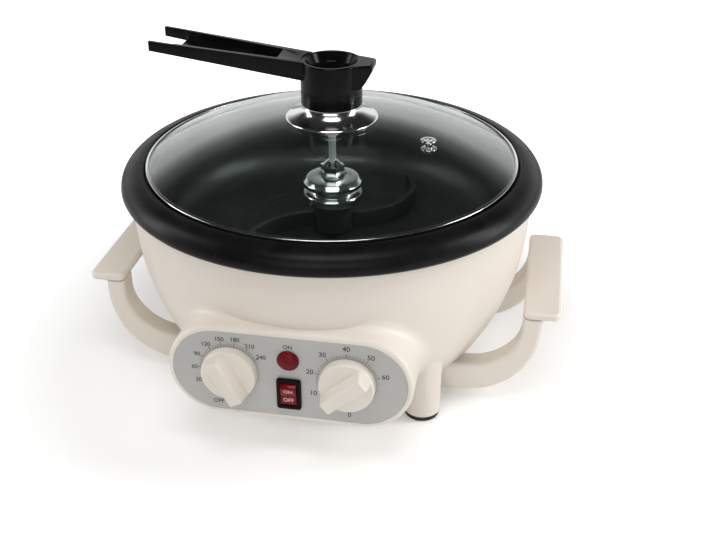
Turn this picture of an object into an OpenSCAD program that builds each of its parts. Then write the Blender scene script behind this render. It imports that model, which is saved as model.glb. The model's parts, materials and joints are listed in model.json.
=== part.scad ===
// Electric chestnut roaster: a round pot with a driven stirrer under a glass lid.
// Millimetres, +Z up, front at -Y. The origin lies on the table under the middle of the whole part.
// Modules are drawn about the pot's own upright axis, and on_axis() puts that axis in its place.

/* [Bowl body] */
// Step by which the bowl's top edge stands inside the rim ring
bowl_step = 7; // [6:0.5:9]
// Outer radius of the bowl at its bottom edge
bowl_bottom_r = 101; // [98:0.5:104]
// Height of the bowl's bottom edge above the table
bowl_bottom_z = 13; // [12:0.5:15]
// Height of the bowl wall's top edge above the table
bowl_top_z = 141.5; // [139:0.5:146]
// Power of the curve by which the wall swells out from the bottom
bowl_fullness = 2.5; // [2.2:0.1:2.8]
// Wall thickness of the moulded shell
shell_wall = 3; // [2.4:0.1:3.4]
// Width of the inward lip that the base plate is screwed to
lip_w = 12; // [10:0.5:14]
// Thickness of the base plate
plate_t = 2.5; // [2:0.1:3]
// Number of cooling slots in the base plate
vent_count = 12; // [8:1:16]
// Length of a cooling slot
vent_len = 24; // [16:1:28]
// Width of a cooling slot
vent_w = 4; // [3:0.5:6]
// Distance from the axis to the middle of a cooling slot
vent_mid_r = 62; // [58:1:64]

/* [Feet] */
// Sideways distance from the axis to each foot
foot_x = 79; // [77:0.5:81]
// Front-to-back gap between a foot's stub and the handle's leg beside it
foot_gap = 6; // [4:0.5:8]
// Radius of a rubber foot
foot_r = 12; // [10:0.5:12.5]
// Height of a rubber foot under its stub
foot_h = 4; // [3:0.5:6]
// Radius of the moulded stub above a foot
stub_r = 13; // [12.5:0.5:14]
// Height to which the stubs run up into the bowl
stub_top_z = 54; // [50:1:60]
// Radius of the plug that holds a foot in its stub
plug_r = 4; // [3:0.5:5]
// Length of that plug
plug_h = 9; // [6:0.5:10]

/* [Side handles] */
// Sideways gap between the bowl's top edge and a grip
grip_gap = 1.5; // [0.5:0.5:4]
// Width of a grip
grip_w = 25.5; // [22:0.5:28]
// Front-to-back length of a grip
grip_len = 120; // [112:1:126]
// Thickness of a grip
grip_t = 6; // [5:0.5:8]
// Height of a grip's top above the table
grip_top_z = 78.5; // [74:0.5:82]
// Corner radius of a grip
grip_corner_r = 5; // [3:0.5:8]
// Front-to-back width of a leg
leg_w = 19; // [16:0.5:20]
// Thickness of a leg under the grip
leg_top_t = 13.5; // [12:0.5:15]
// Thickness of a leg where it meets the bowl
leg_root_t = 21; // [18:0.5:24]
// Thickness of the tab that runs under the bowl's edge
tab_t = 4; // [3:0.5:5]
// Distance from the bowl's top edge in to the middle of a leg's bend
leg_bend_in = 37; // [35:0.5:39]
// Height of the middle of a leg's bend
leg_bend_z = 64; // [60:0.5:66]
// Height of the tenon that holds a grip on its leg
tenon_h = 3.5; // [2.5:0.5:4]
// Wall left around that tenon
tenon_wall = 3.5; // [2.5:0.5:4]

/* [Rim and pan] */
// Width of the rim ring outside the lid's edge
rim_cover = 18; // [17:0.5:20]
// Thickness of the rim ring's wall
rim_wall = 3; // [2.4:0.1:3.2]
// Height of the rim's crown above the ledge that the lid rests on
crown_h = 4.8; // [4:0.2:6]
// Thickness of that ledge
ledge_t = 2.2; // [1.8:0.1:3]
// Depth of the rim ring's hem below its widest line
hem_h = 4.7; // [4:0.1:6]
// Width by which the hem curls in under the ring
hem_tuck = 5.5; // [4:0.5:6.5]
// Step by which the bowl's neck stands inside its wall
neck_step = 3.5; // [3.2:0.1:4]
// Height of that neck
neck_h = 8; // [7:0.5:9]
// Depth of the pan from its lip to its floor
pan_depth = 51.6; // [49:0.2:53]
// Thickness of the pan
pan_wall = 2; // [1.6:0.1:2.4]
// Width by which the pan's mouth reaches beyond its flat floor
pan_flare = 27.8; // [25:0.2:31]
// Radius of the bend from floor to wall
pan_bend_r = 22; // [18:0.5:24]
// Width that the lid overlaps the pan's edge
lid_overlap = 6.2; // [5.8:0.2:8]
// Height of the pan's middle boss
boss_h = 16; // [14:0.5:17]
// Outer radius of that boss
boss_r = 9.4; // [8.6:0.2:10]

/* [Lid] */
// Outer radius of the lid with its edge band
lid_r = 132; // [130:0.2:133]
// Gap between the lid's edge and the rim ring
lid_gap = 1.2; // [0.8:0.1:1.6]
// Thickness of the glass
glass_t = 4; // [3.5:0.1:4.5]
// Rise of the dome from its edge to its top
dome_rise = 31.5; // [28:0.5:34]
// Thickness of the edge band
band_t = 0.6; // [0.5:0.05:0.8]
// Width of the edge band's flat under the glass
band_w = 4.4; // [4:0.1:4.8]
// Width of the edge band's fold over the glass
band_fold = 2; // [1.5:0.1:2.4]
// Distance of the vent eyelet to the right of the axis
vent_x = 70.5; // [66:0.5:76]
// Distance of the vent eyelet in front of the axis
vent_y = 18; // [10:0.5:24]
// Outer radius of the vent eyelet
eyelet_r = 5.5; // [5:0.25:7]
// Radius of the vent's hole
eyelet_hole_r = 1.5; // [1.25:0.25:2]
// Thickness of the eyelet's flanges
eyelet_t = 1; // [0.8:0.1:1.4]
// Outer radius of the bright flange
flange_r = 32.7; // [31:0.2:34]
// Height of the bright flange
flange_h = 10.5; // [9:0.5:12]
// Thickness of the bright flange
flange_t = 1.5; // [1.2:0.1:1.8]
// Outer radius of the rubber spacer inside the flange
spacer_r = 14; // [12:0.5:16]
// Radius of the hollow stud
stud_r = 5; // [4.6:0.1:5.4]
// Length of the stud below the glass
stud_drop = 12; // [10:0.5:14]
// Width across the flats of the stud's nut
stud_nut_af = 16; // [14:0.5:18]
// Thickness of the stud's nut
stud_nut_h = 6; // [5:0.5:7]
// Thickness of the rubber washer on that nut
washer_t = 1.3; // [1:0.1:2]

/* [Lid handle] */
// Radius of the handle's stem
stem_r = 21.5; // [20:0.5:22]
// Height of the stem's foot, which holds the clamping stud
stem_h = 8; // [6:0.5:9]
// Height of the cup above that foot
cup_h = 22.5; // [20:0.5:25]
// Wall thickness of the cup
cup_wall = 3; // [2.5:0.1:3.5]
// Distance from the axis to the tip of the thumb lip
lip_reach = 30; // [27:0.5:33]
// Width of the thumb lip at its tip
lip_tip_w = 18; // [14:0.5:24]
// Width of the thumb lip at the axis
lip_root_w = 39; // [34:0.5:40]
// Height of the thumb lip, from its lower end to the cup's top
lip_h = 17; // [14:0.5:20]
// Thickness of the thumb lip at its tip
lip_t = 4; // [3:0.5:6]
// Depth of the cup's hollow
cup_depth = 7; // [5:0.5:7.5]
// Distance from the axis to the arm's end
arm_reach = 123.5; // [110:0.5:130]
// Width of the arm at the cup
arm_root_w = 25; // [22:0.5:30]
// Width of the arm at its end
arm_end_w = 37.5; // [34:0.5:42]
// Rise of the arm's top edge from the cup to its end
arm_rise = 11.5; // [8:0.5:14]
// Height of the arm's side at the cup
arm_root_h = 13; // [11:0.5:15]
// Height of the arm's side at its end
arm_end_h = 6.5; // [6:0.5:9]
// Wall and floor thickness of the arm
arm_wall = 3; // [2.5:0.1:3.5]
// Length of the arm's solid web between the cup and the channel
arm_web = 14; // [8:0.5:20]
// Length of the notch in the floor at the arm's end
notch_len = 18; // [12:0.5:24]
// Radius of the spring's room in the stem
spring_room_r = 8; // [7.5:0.5:9]
// Height of that room above the stud
spring_room_h = 15; // [13:0.5:16]
// Radius of the hold-down rod
rod_r = 2.6; // [2.2:0.1:3]
// Gap under the rod at rest
rod_gap = 0.3; // [0.2:0.05:0.5]
// Upward travel of the rod
rod_travel = 5; // [3:0.5:6]
// Radius of the rod's collar
collar_r = 6; // [5.6:0.1:6.6]
// Thickness of the rod's collar
collar_t = 2; // [1.5:0.1:2.5]
// Wall thickness of the rod's spring sleeve
spring_t = 1.2; // [0.8:0.1:1.4]

/* [Stirrer] */
// Radius of the drive shaft
shaft_r = 4; // [3.6:0.1:4.2]
// Wall thickness of the shaft's bush
bush_t = 2.4; // [2:0.1:2.6]
// Gap between the blades and the pan's floor
blade_gap = 2; // [1.5:0.1:3]
// Height of the blades
blade_h = 12; // [10:0.5:14]
// Thickness of the blades
blade_t = 4; // [3:0.5:5]
// Gap between the blades' tips and the edge of the pan's flat floor
blade_clear = 8; // [6:0.5:14]
// Angle through which each blade bends
blade_sweep = 120; // [110:1:124]
// Wall thickness of the blades' middle sleeve
sleeve_t = 3.4; // [2.8:0.1:4]
// Gap between that sleeve and the pan's boss
sleeve_gap = 1.2; // [0.8:0.1:1.6]
// Height of the spool hub's underside above the pan's floor
hub_rise = 25; // [24:0.5:27]
// Radius of the spool hub
hub_r = 21.5; // [20:0.5:24]
// Radius of the hub's groove
groove_r = 17; // [15:0.5:18]
// Thickness of each disc of the hub
disc_h = 6; // [5:0.5:7]
// Height of the hub's groove
groove_h = 5; // [4:0.5:6]
// Width across the flats of the hub's nut
hub_nut_af = 15.2; // [13:0.2:17]
// Height of the hub's nut
hub_nut_h = 12; // [10:0.5:13]

/* [Controls] */
// Distance from the bowl's top edge out to the fascia's front
panel_reach = 4; // [3.5:0.5:7]
// Width of the fascia
fascia_w = 154; // [150:1:158]
// Height of the fascia
fascia_h = 60; // [58:0.5:62]
// Thickness of the fascia
fascia_t = 2; // [1.5:0.1:2.5]
// Height of the fascia's middle above the table
fascia_z = 67; // [66:0.5:68]
// Border of the housing around the fascia
border = 3.5; // [3:0.1:5]
// Front wall thickness of the control housing
front_wall = 2.5; // [2:0.1:3]
// Height of the dials above the table
dial_z = 68; // [66:0.5:70]
// Radius of a dial
dial_r = 18.5; // [17:0.25:19.5]
// Thickness of a dial's skirt
skirt_h = 7; // [6:0.5:8]
// Height of a dial from the fascia to its bar's top
dial_h = 18; // [16:0.5:20]
// Width of a dial's bar
bar_w = 10; // [8:0.5:12]
// Angle of the left dial's bar above +X, as it stands at rest
left_bar_angle = 118; // [90:1:150]
// Angle of the right dial's bar above +X, as it stands at rest
right_bar_angle = 40; // [10:1:80]
// Radius of the dials' shafts
spindle_r = 3; // [2.6:0.1:3.2]
// Radius of the threaded necks that hold the dials' bodies
thread_r = 4.8; // [4.4:0.1:5]
// Width across the flats of the nuts on those necks
neck_nut_af = 14; // [12:0.5:16]
// Thickness of those nuts
neck_nut_h = 2.5; // [2:0.1:3]
// Width and height of the thermostat's body
thermostat_size = 38; // [34:0.5:40]
// Depth of the thermostat's body
thermostat_depth = 24; // [20:0.5:26]
// Width and height of the timer's body
timer_size = 40; // [36:0.5:41]
// Depth of the timer's body
timer_depth = 30; // [26:0.5:32]
// Height of the lamp above the table
lamp_z = 80.5; // [80:0.5:82]
// Radius of the lamp's lens
lens_r = 7.2; // [6.5:0.1:7.5]
// Height of the lens in front of the fascia
lens_h = 4; // [3:0.5:5]
// Radius of the lamp's barrel
barrel_r = 5; // [4.5:0.1:5.4]
// Length of the lamp's barrel behind the fascia
barrel_len = 24; // [20:0.5:26]
// Height of the switch's middle above the table
switch_z = 55; // [54:0.5:56]
// Width of the switch's bezel
bezel_w = 16; // [15:0.25:17]
// Height of the switch's bezel
bezel_h = 23; // [22:0.25:24]
// Thickness of the switch's bezel
bezel_t = 2; // [1.5:0.1:2.5]
// Side of the bezel around its opening
bezel_side = 1.8; // [1.5:0.1:2]
// Wall thickness of the switch's body
switch_wall = 0.9; // [0.8:0.05:1.1]
// Depth of the switch's body behind the fascia
switch_depth = 18; // [16:0.5:20]
// Tilt of the rocker to each side of level
rocker_tilt = 8; // [6:0.5:9]
// Height of the rocker's ends above its middle
rocker_dish = 1.4; // [1:0.1:1.8]
// Radius of the rocker's pivot pins
pivot_r = 1.2; // [1:0.1:1.4]
// Length of each pivot pin
pivot_len = 1; // [0.8:0.1:1.2]

/* [Heater] */
// Radius of the heating element's tube
element_r = 4; // [3.5:0.1:4.2]
// Radius of the ring that the element makes
element_ring_r = 74; // [72:0.5:78]
// Angle between the element's two ends
element_open = 30; // [26:1:40]
// Length of the element's ends below the ring
element_drop = 28; // [26:0.5:30]
// Radius of the element's end pins
element_pin_r = 2.6; // [2:0.1:3]
// Thickness of the element's clips
clip_t = 1; // [0.8:0.1:1.2]
// Width of the element's clips
clip_w = 8; // [6:0.5:10]
// Distance from the pan to the reflector's floor
shield_drop = 20; // [19:0.5:21]
// Radius of the reflector
shield_r = 92; // [90:0.5:96]
// Thickness of the reflector
shield_t = 1; // [0.8:0.1:1.2]
// Height of the reflector's turned-up edge
shield_edge = 6; // [5:0.5:7]
// Radius of the reflector's middle hole
shield_hole_r = 14; // [12:0.5:16]
// Distance from the axis to the pan's studs
post_mid_r = 50; // [49:0.5:51]
// Radius of the pan's studs
post_r = 2.5; // [2.2:0.1:2.8]
// Wall thickness of the tubes on those studs
tube_t = 1.8; // [1.4:0.1:2]
// Width across the flats of the nuts on those studs
post_nut_af = 8; // [7:0.5:9]
// Thickness of the nuts on those studs
post_nut_h = 3.4; // [3:0.1:4]
// Radius of the thermal cut-out
cutout_r = 8; // [7:0.25:8.5]
// Height of the thermal cut-out
cutout_h = 8; // [6:0.5:9]
// Sideways and front-to-back distance of the cut-out from the axis
cutout_at = 30; // [29:0.5:31]
// Radius of the thermostat's sensing bulb
bulb_r = 2.5; // [2.2:0.1:2.8]
// Length of the sensing bulb
bulb_len = 56; // [50:1:60]
// Distance of the sensing bulb in front of the axis
bulb_y = 59; // [58.5:0.5:60]
// Radius of the bulb's fine tube
capillary_r = 1; // [0.8:0.1:1.1]

/* [Gear motor] */
// Radius of the motor's can
can_r = 30; // [28:0.5:31]
// Height of the motor's can
can_h = 21; // [20:0.5:22]
// Wall thickness of the motor's can
can_wall = 1.4; // [1.2:0.1:1.8]
// Gap between the motor and the base plate
can_clear = 3.5; // [3:0.5:5]
// Outer radius of the motor's coil
coil_r = 27; // [24:0.5:28]
// Inner radius of the motor's coil
coil_hole_r = 13; // [12.5:0.5:15]
// Radius of the motor's magnet
magnet_r = 11; // [9:0.5:11.5]
// Gap above and below the magnet
magnet_gap = 2; // [1.5:0.5:3]
// Radius of the thin axles in the gear case
axle_r = 1.5; // [1.3:0.1:1.7]
// Distance from the output axis to the motor's axis
motor_x = 14; // [13:0.5:15]
// Module of the first pair of gears
first_module = 0.8; // [0.8:0.01:0.84]
// Module of the second pair of gears
second_module = 1; // [1:0.01:1.04]
// Number of teeth of each small gear
pinion_teeth = 12; // [12:1:13]
// Number of teeth of the middle wheel
wheel_teeth = 48; // [47:1:49]
// Number of teeth of the output wheel
output_teeth = 40; // [39:1:41]
// Pressure angle of the teeth
pressure_angle = 25; // [25:0.5:26]
// Thickness of the gear wheels
wheel_t = 6; // [5:0.5:6.5]
// Gap above and below the gears
gear_gap = 4; // [3.5:0.5:5]
// Wall thickness of the gear case
case_wall = 2; // [1.6:0.1:2.4]
// Corner radius of the gear case
case_corner_r = 7; // [6:0.5:8]
// Gap between the gears and the case
case_gap = 4; // [3.5:0.5:5]
// Wall thickness of the bearing bosses in the case
bearing_wall = 1.4; // [1.2:0.1:1.6]
// Thickness of the motor's mounting plate
motor_plate_t = 2; // [1.6:0.1:2.4]
// Radius of the motor's mounting plate
motor_plate_r = 58; // [57:0.5:60]
// Radius of the case's screws
case_screw_r = 1.5; // [1.3:0.1:1.6]
// Height of the case screws' heads
case_head_h = 1.6; // [1.2:0.1:2]

/* [Supply] */
// Height of the cord gland above the table
gland_z = 34; // [33:0.5:36]
// Radius of the gland's hole for the cord
cord_hole_r = 3.6; // [3.2:0.1:4]
// Radius of the gland's barrel
gland_r = 7.5; // [7:0.1:8]
// Radius of the gland's collar
gland_collar_r = 10.5; // [10:0.25:11]
// Length of the gland's collar behind the boss
gland_collar_len = 6; // [4:0.5:8]
// Radius of the flat boss around the gland
gland_boss_r = 12.5; // [12:0.25:14]
// Distance by which that boss stands out of the wall
gland_boss_out = 8.9; // [8:0.1:11]
// Thickness of the gland's nut
gland_nut_h = 4; // [3:0.5:5]
// Length of the terminal block
block_len = 34; // [30:1:38]
// Width of the terminal block
block_w = 14; // [12:0.5:16]
// Height of the terminal block
block_h = 12; // [10:0.5:14]
// Distance from the axis to the terminal block's middle
block_mid_r = 66; // [64:0.5:68]
// Radius of the wires
wire_r = 1.2; // [1:0.1:1.3]

/* [Screws] */
// Radius of the handle screws
screw_r = 2; // [1.6:0.1:2.2]
// Radius of the handle screws' heads
head_r = 4; // [3.5:0.1:4.4]
// Height of the handle screws' heads
head_h = 2.4; // [2:0.1:3]

/* [Fits] */
// Gap between still pieces that rest on each other
seat = 0.1; // [0.05:0.05:0.15]
// Gap around a still piece that drops into another
slip = 0.2; // [0.15:0.05:0.3]
// Gap between a shaft and what is fixed on it
snug = 0.03; // [0.02:0.01:0.05]
// Radial clearance of a running fit
run = 0.05; // [0.03:0.01:0.08]
// Gap between moving pieces that pass each other
pass = 0.6; // [0.5:0.05:0.8]
// Overrun of every cut
over = 2; // [1:0.5:3]

/* [Hidden] */
$fn = 96;
fine_fn = 48;
curve_steps = 24;
bend_steps = 14;
bend_step = 90 / bend_steps;
tooth_steps = 5;
cream = [0.91, 0.87, 0.82];
black = [0.08, 0.08, 0.08];
grey = [0.69, 0.68, 0.66];
steel = [0.75, 0.76, 0.78];
glass = [0.7, 0.8, 0.78, 0.35];
red = [0.5, 0.05, 0.08];
brass = [0.75, 0.6, 0.3];
white = [0.93, 0.92, 0.88];

// Shares of other sizes
dish_floor_share = 0.8;
dial_x_share = 0.25;
tooth_root_share = 1.25;
flat_share = 0.7;
bar_length_share = 0.97;
hub_nut_cone_share = 0.75;
bend_share = 1.3;
lens_dome_share = 0.75;
neck_nut_turn = 90;
post_turn = 30;
clip_turn = 90;
output_phase = 0;
wheel_phase = 0;

// Main sizes that follow the lid's
rim_r = lid_r + rim_cover;
bowl_top_r = rim_r - bowl_step;
grip_inner_x = bowl_top_r + grip_gap;
leg_bend_x = bowl_top_r - leg_bend_in;
fascia_y = bowl_top_r + panel_reach;
dial_x = fascia_w * dial_x_share;
foot_y = grip_len / 2 + foot_gap + stub_r;

// Where the pot's axis stands, so that the whole part is centred front to back
axis_y = (fascia_y + dial_h - rim_r) / 2;

// Heights of the bowl's bottom
plate_top = bowl_bottom_z + plate_t;
lip_z = plate_top + seat;
lip_top = lip_z + shell_wall;
bowl_in_bottom_r = bowl_bottom_r - shell_wall;
plate_r = bowl_in_bottom_r - slip;

// Heights of the rim, from the bowl's neck up
neck_r = bowl_top_r - neck_step;
neck_in_r = neck_r - shell_wall;
neck_top = bowl_top_z + neck_h;
pan_lip_z = neck_top + seat;
pan_lip_top = pan_lip_z + pan_wall;
pan_top_r = lid_r - lid_overlap;
pan_floor_r = pan_top_r - pan_flare;
ledge_z = pan_lip_top + seat;
ledge_top = ledge_z + ledge_t;
ledge_in_r = pan_top_r + pan_wall / 2;
rim_in_r = lid_r + lid_gap;
crown_r = rim_in_r + rim_wall / 2;
crown_top = ledge_top + crown_h;
hem_z = bowl_top_z + seat;
rim_wide_z = hem_z + hem_h;

// Heights of the pan and what hangs under it
pan_floor = pan_lip_top - pan_depth;
pan_bottom = pan_floor - pan_wall;
boss_top = pan_floor + boss_h;
bush_r = shaft_r + run + bush_t;
shield_z = pan_bottom - shield_drop;
element_z = pan_bottom - seat - element_r;

// Heights of the gear motor, from the base plate up
can_z = plate_top + can_clear;
can_floor_top = can_z + case_wall;
case_z = can_z + can_h;
case_floor_top = case_z + case_wall;
first_z = case_floor_top + gear_gap;
second_z = first_z + wheel_t + gear_gap / 2;
gears_top = second_z + wheel_t;
motor_plate_z = gears_top + gear_gap;
motor_plate_top = motor_plate_z + motor_plate_t;

// Places of the gear axles
first_distance = first_module * (pinion_teeth + wheel_teeth) / 2;
second_distance = second_module * (pinion_teeth + output_teeth) / 2;
idler_x = (pow(second_distance, 2) - pow(first_distance, 2) + pow(motor_x, 2)) / (2 * motor_x);
idler_y = sqrt(pow(second_distance, 2) - pow(idler_x, 2));
output_reach = second_module * (output_teeth / 2 + 1);
wheel_reach = first_module * (wheel_teeth / 2 + 1);
idler_dir = atan2(idler_y, idler_x);
motor_dir = atan2(-idler_y, motor_x - idler_x);
second_pinion_phase = mesh_phase(idler_dir, output_phase, output_teeth, pinion_teeth);
first_pinion_phase = mesh_phase(motor_dir, wheel_phase, wheel_teeth, pinion_teeth);
case_x0 = -output_reach - case_gap - case_wall;
case_x1 = max(idler_x + wheel_reach, output_reach) + case_gap + case_wall;
case_y0 = -output_reach - case_gap - case_wall;
case_y1 = idler_y + wheel_reach + case_gap + case_wall;

// Heights of the stirrer
blade_z = pan_floor + blade_gap;
blade_bend_r = (pan_floor_r - blade_clear) / (2 * sin(blade_sweep / 2));
sleeve_in_r = boss_r + sleeve_gap;
sleeve_r = sleeve_in_r + sleeve_t;
hub_z = pan_floor + hub_rise;
sleeve_top = hub_z - seat;
sleeve_roof = sleeve_top - sleeve_t;
groove_z = hub_z + disc_h;
upper_disc_z = groove_z + groove_h;
hub_top = upper_disc_z + disc_h;
hub_nut_z = hub_top + seat;
hub_nut_top = hub_nut_z + hub_nut_h;
shaft_z = case_floor_top + seat;
shaft_top = hub_nut_top - shaft_r;

// Heights of the lid
lid_z = ledge_top + seat;
glass_r = lid_r - band_t - slip;
glass_edge_z = lid_z + band_t + seat;
glass_edge_top = glass_edge_z + glass_t;
dome_r = (pow(glass_r, 2) + pow(dome_rise, 2)) / (2 * dome_rise);
glass_top = glass_edge_top + dome_rise;
glass_under = glass_top - glass_t;
stud_hole_r = stud_r + slip;
flange_z = dome_z(flange_r) + slip;
flange_top = flange_z + flange_h;
stem_z = flange_top + seat;
stem_top = stem_z + stem_h;
cup_top = stem_top + cup_h;
dish_r = stem_r - cup_wall;
stud_z = glass_under - stud_drop;
stud_top = stem_z + stem_h;
spring_room_top = stud_top + spring_room_h;
washer_z = dome_z(spacer_r) - glass_t - seat - washer_t;
stud_nut_z = washer_z - seat - stud_nut_h;
collar_z = stud_top + seat;
rod_z = hub_nut_top + rod_gap;
rod_top = spring_room_top - rod_travel - collar_t;

// Places of the control panel
housing_w = fascia_w + 2 * slip + 2 * border;
housing_h = fascia_h + 2 * slip + 2 * border;
housing_front = fascia_y + seat;
front_wall_y = fascia_y - fascia_t - seat;
front_wall_back = front_wall_y - front_wall;
body_y = front_wall_back - seat;
thread_top = fascia_y + neck_nut_h + slip;
dial_back = fascia_y + pass;
dial_front = fascia_y + dial_h;
dial_room_r = neck_nut_af / sqrt(3) + pass;
spindle_top = dial_front - (dial_h - skirt_h) / 2;
window_w = housing_w - 2 * border - 2 * shell_wall;
window_h = housing_h - 2 * border - 2 * shell_wall;
opening_w = bezel_w - 2 * bezel_side;
opening_h = bezel_h - 2 * bezel_side;
rocker_r = opening_h / 2 - switch_wall - slip;
rocker_w = opening_w - 2 * switch_wall - 2 * slip;
rocker_y = fascia_y - bezel_t;

// Places of the cord gland, whose nut clears the slanting wall below it
gland_boss_y = bowl_r(gland_z) + gland_boss_out;
gland_nut_y = bowl_r(gland_z - 2 * gland_collar_r / sqrt(3)) - shell_wall - seat;
gland_end_y = gland_nut_y - 2 * gland_nut_h;

// Places of the handles
grip_z = grip_top_z - grip_t;
leg_y = (grip_len - leg_w) / 2;
tab_z = bowl_bottom_z - seat - tab_t;
screw_mid_r = (bowl_in_bottom_r + lip_in_r()) / 2;
screw_x = sqrt(pow(screw_mid_r, 2) - pow(leg_y, 2));
tab_in_x = screw_x - head_r;

// Sub-part to draw, or all of them

// Curves and places

// Inner radius of the lip at the bowl's bottom
function lip_in_r() = bowl_in_bottom_r - lip_w;

// How far up the bowl's wall a height is, from 0 to 1
function bowl_up(z) = min(max((z - bowl_bottom_z) / (bowl_top_z - bowl_bottom_z), 0), 1);

// Outer radius of the bowl at a height
function bowl_r(z) =
  bowl_bottom_r + (bowl_top_r - bowl_bottom_r) * (1 - pow(1 - bowl_up(z), bowl_fullness));

// Points up the bowl's wall between two heights
function bowl_line(from, to, grow) =
  [for (i = [0 : curve_steps]) let (z = from + (to - from) * i / curve_steps) [bowl_r(z) + grow, z]];

// Height of the glass dome's top at a distance from the axis
function dome_z(r) =
  glass_edge_top + sqrt(pow(dome_r, 2) - pow(r, 2)) - sqrt(pow(dome_r, 2) - pow(glass_r, 2));

// Points along the dome, moved up or down
function dome_line(from, to, lift) =
  [for (i = [0 : curve_steps]) let (r = from + (to - from) * i / curve_steps) [r, dome_z(r) + lift]];

// Points of an elliptic arc between two angles
function arc(x, y, rx, ry, from, to) =
  [for (i = [0 : bend_steps]) let (a = from + (to - from) * i / bend_steps)
    [x + rx * cos(a), y + ry * sin(a)]];

// Angle whose tangent it unrolls, in degrees
function involute(a) = tan(a) * 180 / PI - a;

// Turn of a gear that lets it mesh with another one, seen from that one in a given direction
function mesh_phase(dir, phase, teeth, own_teeth) =
  dir + 180 - (0.5 - (dir - phase) * teeth / 360) * 360 / own_teeth;

// Put the pot's axis in its place
module on_axis() {
  translate([0, axis_y, 0]) children();
}

// Turn a form that is drawn upward so that it looks out of the front
module to_front(y) {
  translate([0, -y, 0]) rotate([90, 0, 0]) children();
}

// Place copies at the four corners of a square around the axis
module at_corners(x, y) {
  for (i = [-1, 1], j = [-1, 1]) translate([i * x, j * y, 0]) children();
}

// Place copies around the axis
module around(count, r, from) {
  for (i = [0 : count - 1]) rotate([0, 0, from + i * 360 / count]) translate([r, 0, 0]) children();
}

// Upright cylinder between two heights
module post(r, from, to) {
  translate([0, 0, from]) cylinder(r = r, h = to - from);
}

// Upright tube between two heights
module tube(r, hole_r, from, to) {
  difference() {
    post(r, from, to);
    post(hole_r, from - over, to + over);
  }
}

// Upright hexagon of a width across its flats, between two heights
module hexagon(af, from, to) {
  translate([0, 0, from]) cylinder(d = af * 2 / sqrt(3), h = to - from, $fn = 6);
}

// Flat form with two round ends
module obround(length, width) {
  square([length - width, width], center = true);
  for (i = [-1, 1]) translate([i * (length - width) / 2, 0]) circle(d = width);
}

// Flat rectangle with round corners
module rounded(length, width, r) {
  square([length - 2 * r, width], center = true);
  square([length, width - 2 * r], center = true);
  for (i = [-1, 1], j = [-1, 1]) translate([i * (length / 2 - r), j * (width / 2 - r)]) circle(r = r);
}

// Round bar between two points
module bar(p, q, r) {
  v = q - p;
  translate(p) rotate([0, acos(v[2] / norm(v)), atan2(v[1], v[0])])
    cylinder(r = r, h = norm(v), $fn = fine_fn);
}

// Bent wire through a list of points
module wire(points, r) {
  for (i = [1 : len(points) - 1]) bar(points[i - 1], points[i], r);
  for (i = [1 : len(points) - 2]) translate(points[i]) sphere(r = r * bend_share, $fn = fine_fn);
}

// Flat gear with involute teeth, thinned a little for play
module gear(teeth, size, phase) {
  pitch_r = teeth * size / 2;
  base_r = pitch_r * cos(pressure_angle);
  root_r = pitch_r - tooth_root_share * size;
  start_r = max(base_r, root_r);
  tip_r = pitch_r + size;
  half = 90 / teeth + involute(pressure_angle) - run / pitch_r * 180 / PI;
  function flank(r) = half - involute(acos(min(base_r / r, 1)));
  radii = [root_r, for (i = [0 : tooth_steps]) start_r + (tip_r - start_r) * i / tooth_steps];
  last = len(radii) - 1;
  polygon([for (t = [0 : teeth - 1]) let (mid = phase + t * 360 / teeth)
    each concat(
      [for (i = [0 : last]) radii[i] * [cos(mid - flank(radii[i])), sin(mid - flank(radii[i]))]],
      [for (i = [last : -1 : 0]) radii[i] * [cos(mid + flank(radii[i])), sin(mid + flank(radii[i]))]]
    )]);
}

// The bowl

// Whole bowl with its inside filled, grown a little, from below its bottom edge
module bowl_block(grow) {
  rotate_extrude() polygon(concat(
    [[0, bowl_bottom_z - grow], [bowl_bottom_r + grow, bowl_bottom_z - grow]],
    bowl_line(bowl_bottom_z, bowl_top_z, grow),
    [[0, bowl_top_z]]
  ));
}

// Room inside the bowl and its neck
module bowl_room() {
  shelf_z = bowl_top_z - shell_wall;
  rotate_extrude() polygon(concat(
    [[0, bowl_bottom_z - foot_h], [bowl_in_bottom_r, bowl_bottom_z - foot_h]],
    bowl_line(bowl_bottom_z, shelf_z, -shell_wall),
    [[neck_in_r, shelf_z], [neck_in_r, neck_top + over], [0, neck_top + over]]
  ));
}

// Lip inside the bowl's bottom edge, rooted in its wall
module bowl_lip() {
  rotate_extrude() polygon([
    [lip_in_r(), lip_z], [bowl_r(lip_z) - shell_wall / 2, lip_z],
    [bowl_r(lip_top) - shell_wall / 2, lip_top], [lip_in_r(), lip_top]
  ]);
}

module outer_shell() on_axis() color(cream) difference() {
  union() {
    difference() {
      union() {
        bowl_block(0);
        post(neck_r, bowl_top_z - shell_wall, neck_top);
        at_corners(foot_x, foot_y) post(stub_r, foot_h + seat, stub_top_z);
        translate([0, 0, gland_z]) to_front(-gland_boss_y) cylinder(r = gland_boss_r, h = gland_boss_y);
      }
      bowl_room();
    }
    bowl_lip();
  }
  to_front(0) translate([0, fascia_z, 0]) linear_extrude(height = bowl_top_r + over)
    obround(window_w, window_h);
  at_corners(foot_x, foot_y) post(plug_r + slip, 0, foot_h + plug_h + slip);
  at_corners(screw_x, leg_y) post(screw_r + snug, bowl_bottom_z, lip_top + over);
  translate([0, gland_boss_y + over, gland_z]) rotate([90, 0, 0])
    cylinder(r = gland_r + slip, h = gland_boss_y);
}

module base_plate() on_axis() color(steel) difference() {
  post(plate_r, bowl_bottom_z, plate_top);
  around(vent_count, vent_mid_r, 180 / vent_count)
    translate([0, 0, bowl_bottom_z - over]) linear_extrude(height = plate_t + 2 * over)
      obround(vent_len, vent_w);
  at_corners(screw_x, leg_y) post(screw_r + slip, bowl_bottom_z - over, plate_top + over);
}

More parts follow.
